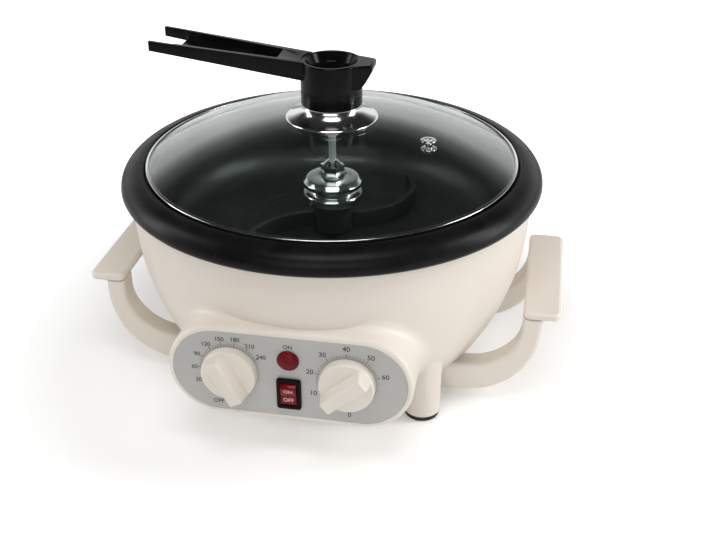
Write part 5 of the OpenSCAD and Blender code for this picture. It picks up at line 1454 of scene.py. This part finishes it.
class ROASTER_OT_fascia_marks(bpy.types.Operator):
    """Print the plain numbers and scale lines around the dials"""

    bl_idname = "roaster.fascia_marks"
    bl_label = "Fascia marks"

    def execute(self, context):
        sizes = context.scene.roaster_sizes
        height, tick = sizes.number_height / MM, sizes.tick_length / MM
        small, word_share, word_lift = 0.86, 0.8, 0.72
        marks = self.temperature_scale(height * small, tick) + self.timer_scale(height, tick)
        lamp_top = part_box("lamp_lens")[1].z / MM
        marks.append(self.word("ON", Vector((0, lamp_top + height * word_lift)), height * word_share))
        piece = join(marks)
        piece.name = "fascia_print"
        ink(piece, "printed_ink", "base")
        return {"FINISHED"}

    def temperature_scale(self, height, tick):
        """30 to 240 in eight numbers, with three lines between two of them, and OFF below."""
        middle, ring, off, off_ring, beside = self.middle("temperature_dial"), 24.2, 257, 27, 7.5
        marks = [self.word("OFF", middle + spoke(off - beside, off_ring), height)]
        marks.append(self.tick(middle, off, tick, True))
        return marks + self.scale(middle, ring, (204, 31), range(30, 241, 30), 4, height, tick)

    def timer_scale(self, height, tick):
        """10 to 60 in six numbers, with five lines between two of them, and 0 below."""
        middle, ring, zero, zero_ring = self.middle("timer_dial"), 25.2, 272, 25.4
        marks = [self.word("0", middle + spoke(zero, zero_ring), height)]
        marks.append(self.tick(middle, zero, tick, True))
        return marks + self.scale(middle, ring, (206, 16), range(10, 61, 10), 6, height, tick)

    def scale(self, middle, ring, ends, numbers, parts, height, tick):
        """Numbers on a ring between two angles, and lines that part each step, a long one at a number."""
        first, last = ends
        steps = len(numbers) - 1
        step = (last - first) / steps
        marks = []
        for i, number in enumerate(numbers):
            marks.append(self.word(str(number), middle + spoke(first + i * step, ring), height))
        for i in range(parts * steps + 1):
            marks.append(self.tick(middle, first + i * step / parts, tick, i % parts == 0))
        return marks

    def middle(self, node):
        """Middle of a dial, in X and Z."""
        low, high = box_mm(node)
        return (low + high).xz / 2

    def word(self, text, at, height):
        """Upright word or number as thin ink on the plate."""
        lift = 0.05
        letters = lettering(text, height)
        letters.rotation_euler = (math.pi / 2, 0, 0)
        letters.location = front(at.x, at.y, FASCIA_Y + lift)
        bpy.ops.object.transform_apply(location=True, rotation=True, scale=True)
        return letters

    def tick(self, middle, turn, tick, long):
        """Short line that points at a dial's middle."""
        start, lift, ink_t = 19.4, 0.01, 0.08
        long_half, short_half, short_share = 0.22, 0.14, 0.55
        length, half = (tick, long_half) if long else (tick * short_share, short_half)
        side = spoke(turn + 90, half)
        near_end, far_end = middle + spoke(turn, start), middle + spoke(turn, start + length)
        corners = [near_end - side, far_end - side, far_end + side, near_end + side]
        return front_slab("tick", [tuple(p) for p in corners], FASCIA_Y + lift, FASCIA_Y + lift + ink_t)


class ROASTER_OT_switch(bpy.types.Operator):
    """Round the switch's bezel and rocker, and print ON and OFF on the rocker"""

    bl_idname = "roaster.switch"
    bl_label = "Switch"

    def execute(self, context):
        bezel_edge, rocker_edge = 0.0004, 0.0003
        bezel = softened("switch_housing", "switch_bezel", bezel_edge)
        place(bezel, "base", SLOT_OF["switch_housing"], "switch_housing")
        rocker = softened("switch_rocker", "rocker_key", rocker_edge)
        place(rocker, "rocker", "rocker_red", "switch_rocker")
        words = join([self.word("ON", True), self.word("OFF", False)])
        words.name = "rocker_words"
        ink(words, "pale_ink", "rocker")
        return {"FINISHED"}

    def word(self, text, upper):
        """Word laid on the upper or the lower face of the rocker, found on the CAD node's mesh."""
        height, lift, outward = 2.9, 0.00005, 0.0006
        low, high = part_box("switch_rocker")
        middle_z = (low.z + high.z) / 2
        polygons = frame["nodes"]["switch_rocker"].data.polygons
        half = [p for p in polygons if p.normal.y < -0.9 and (p.center.z > middle_z) == upper]
        normal = max(half, key=lambda p: p.area).normal.copy()
        flat = [p for p in half if p.normal.dot(normal) > 0.9999]
        centre = sum((p.center * p.area for p in flat), Vector()) / sum(p.area for p in flat)
        up = Vector((0, normal.z, -normal.y))
        letters = lettering(text, height)
        letters.rotation_euler = (math.atan2(-normal.y, normal.z), 0, 0)
        letters.location = centre + normal * lift + up * (outward if upper else 0)
        bpy.ops.object.transform_apply(location=True, rotation=True, scale=True)
        return letters


class ROASTER_OT_lamp(bpy.types.Operator):
    """Turn the lamp's ribbed lens"""

    bl_idname = "roaster.lamp"
    bl_label = "Lamp lens"

    def execute(self, context):
        low, high = box_mm("lamp_lens")
        back, tip, r = AXIS_MM - high.y, AXIS_MM - low.y, (high.x - low.x) / 2
        collar, inset, rings, groove, shoulder = 1.2, 0.8, 5, 0.15, 1.5
        dome_r, dome_low = r - inset, back + shoulder
        corners = [(0, back, 0), (r, back, 0.2), (r, back + collar, 0.3), (dome_r, dome_low, 0.2)]
        for i in range(rings):
            t = 1 - (i + 0.5) / rings
            rise = dome_low + (tip - dome_low) * math.sqrt(1 - t * t)
            corners += [(dome_r * t + groove * 2, rise - groove, 0.1), (dome_r * t, rise, groove)]
        corners.append((0, tip, 0))
        outline = eased(corners, 3, closed=False)
        lens = turned_front("lamp_cap", outline, 0, (low.z + high.z) / 2, 64, 24, closed=False)
        place(lens, "base", "lens_red", "lamp_lens")
        return {"FINISHED"}


class ROASTER_OT_small_parts(bpy.types.Operator):
    """Round the edges of the screws, nuts and gland that can be seen"""

    bl_idname = "roaster.small_parts"
    bl_label = "Small parts"

    def execute(self, context):
        edges = {"handle_screws": 0.0004, "cord_gland": 0.0006, "lid_nut": 0.0004, "lid_washer": 0.0003,
                 "hold_down_rod": 0.0005}
        for node, width in edges.items():
            body = frame["nodes"][node]["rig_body"]
            place(softened(node, node + "_finished", width), body, SLOT_OF[node], node)
        return {"FINISHED"}


class ROASTER_PT_panel(bpy.types.Panel):
    """Lists the pieces of the roaster"""

    bl_idname = "ROASTER_PT_panel"
    bl_label = "Roaster"
    bl_space_type = "VIEW_3D"
    bl_region_type = "UI"
    bl_category = "Roaster"

    def draw(self, context):
        for operator in OPERATORS:
            self.layout.operator(operator.bl_idname)
        for name in GROUPS:
            group = getattr(context.scene, name)
            box = self.layout.box()
            for key in group.__annotations__:
                box.prop(group, key)


OPERATORS = [
    ROASTER_OT_finishes, ROASTER_OT_stage, ROASTER_OT_bowl, ROASTER_OT_control_housing,
    ROASTER_OT_handles, ROASTER_OT_feet, ROASTER_OT_rim, ROASTER_OT_pan, ROASTER_OT_stirrer, ROASTER_OT_lid,
    ROASTER_OT_lid_handle, ROASTER_OT_dials, ROASTER_OT_fascia_marks, ROASTER_OT_switch, ROASTER_OT_lamp,
    ROASTER_OT_small_parts,
]
GROUPS = {"roaster_sizes": RoasterSizes, "roaster_colours": RoasterColours, "roaster_stage": RoasterStage}


def register():
    """Make the settings, the operators and the panel known to the program."""
    for group in GROUPS.values():
        bpy.utils.register_class(group)
    for name, group in GROUPS.items():
        setattr(bpy.types.Scene, name, bpy.props.PointerProperty(type=group))
    for operator in OPERATORS:
        bpy.utils.register_class(operator)
    bpy.utils.register_class(ROASTER_PT_panel)


def unregister():
    """Take them all out again."""
    bpy.utils.unregister_class(ROASTER_PT_panel)
    for operator in reversed(OPERATORS):
        bpy.utils.unregister_class(operator)
    for name, group in reversed(GROUPS.items()):
        delattr(bpy.types.Scene, name)
        bpy.utils.unregister_class(group)


def main():
    """Build every piece."""
    register()
    for operator in OPERATORS:
        family, name = operator.bl_idname.split(".")
        getattr(getattr(bpy.ops, family), name)()
    settle()


if __name__ == "__main__":
    main()
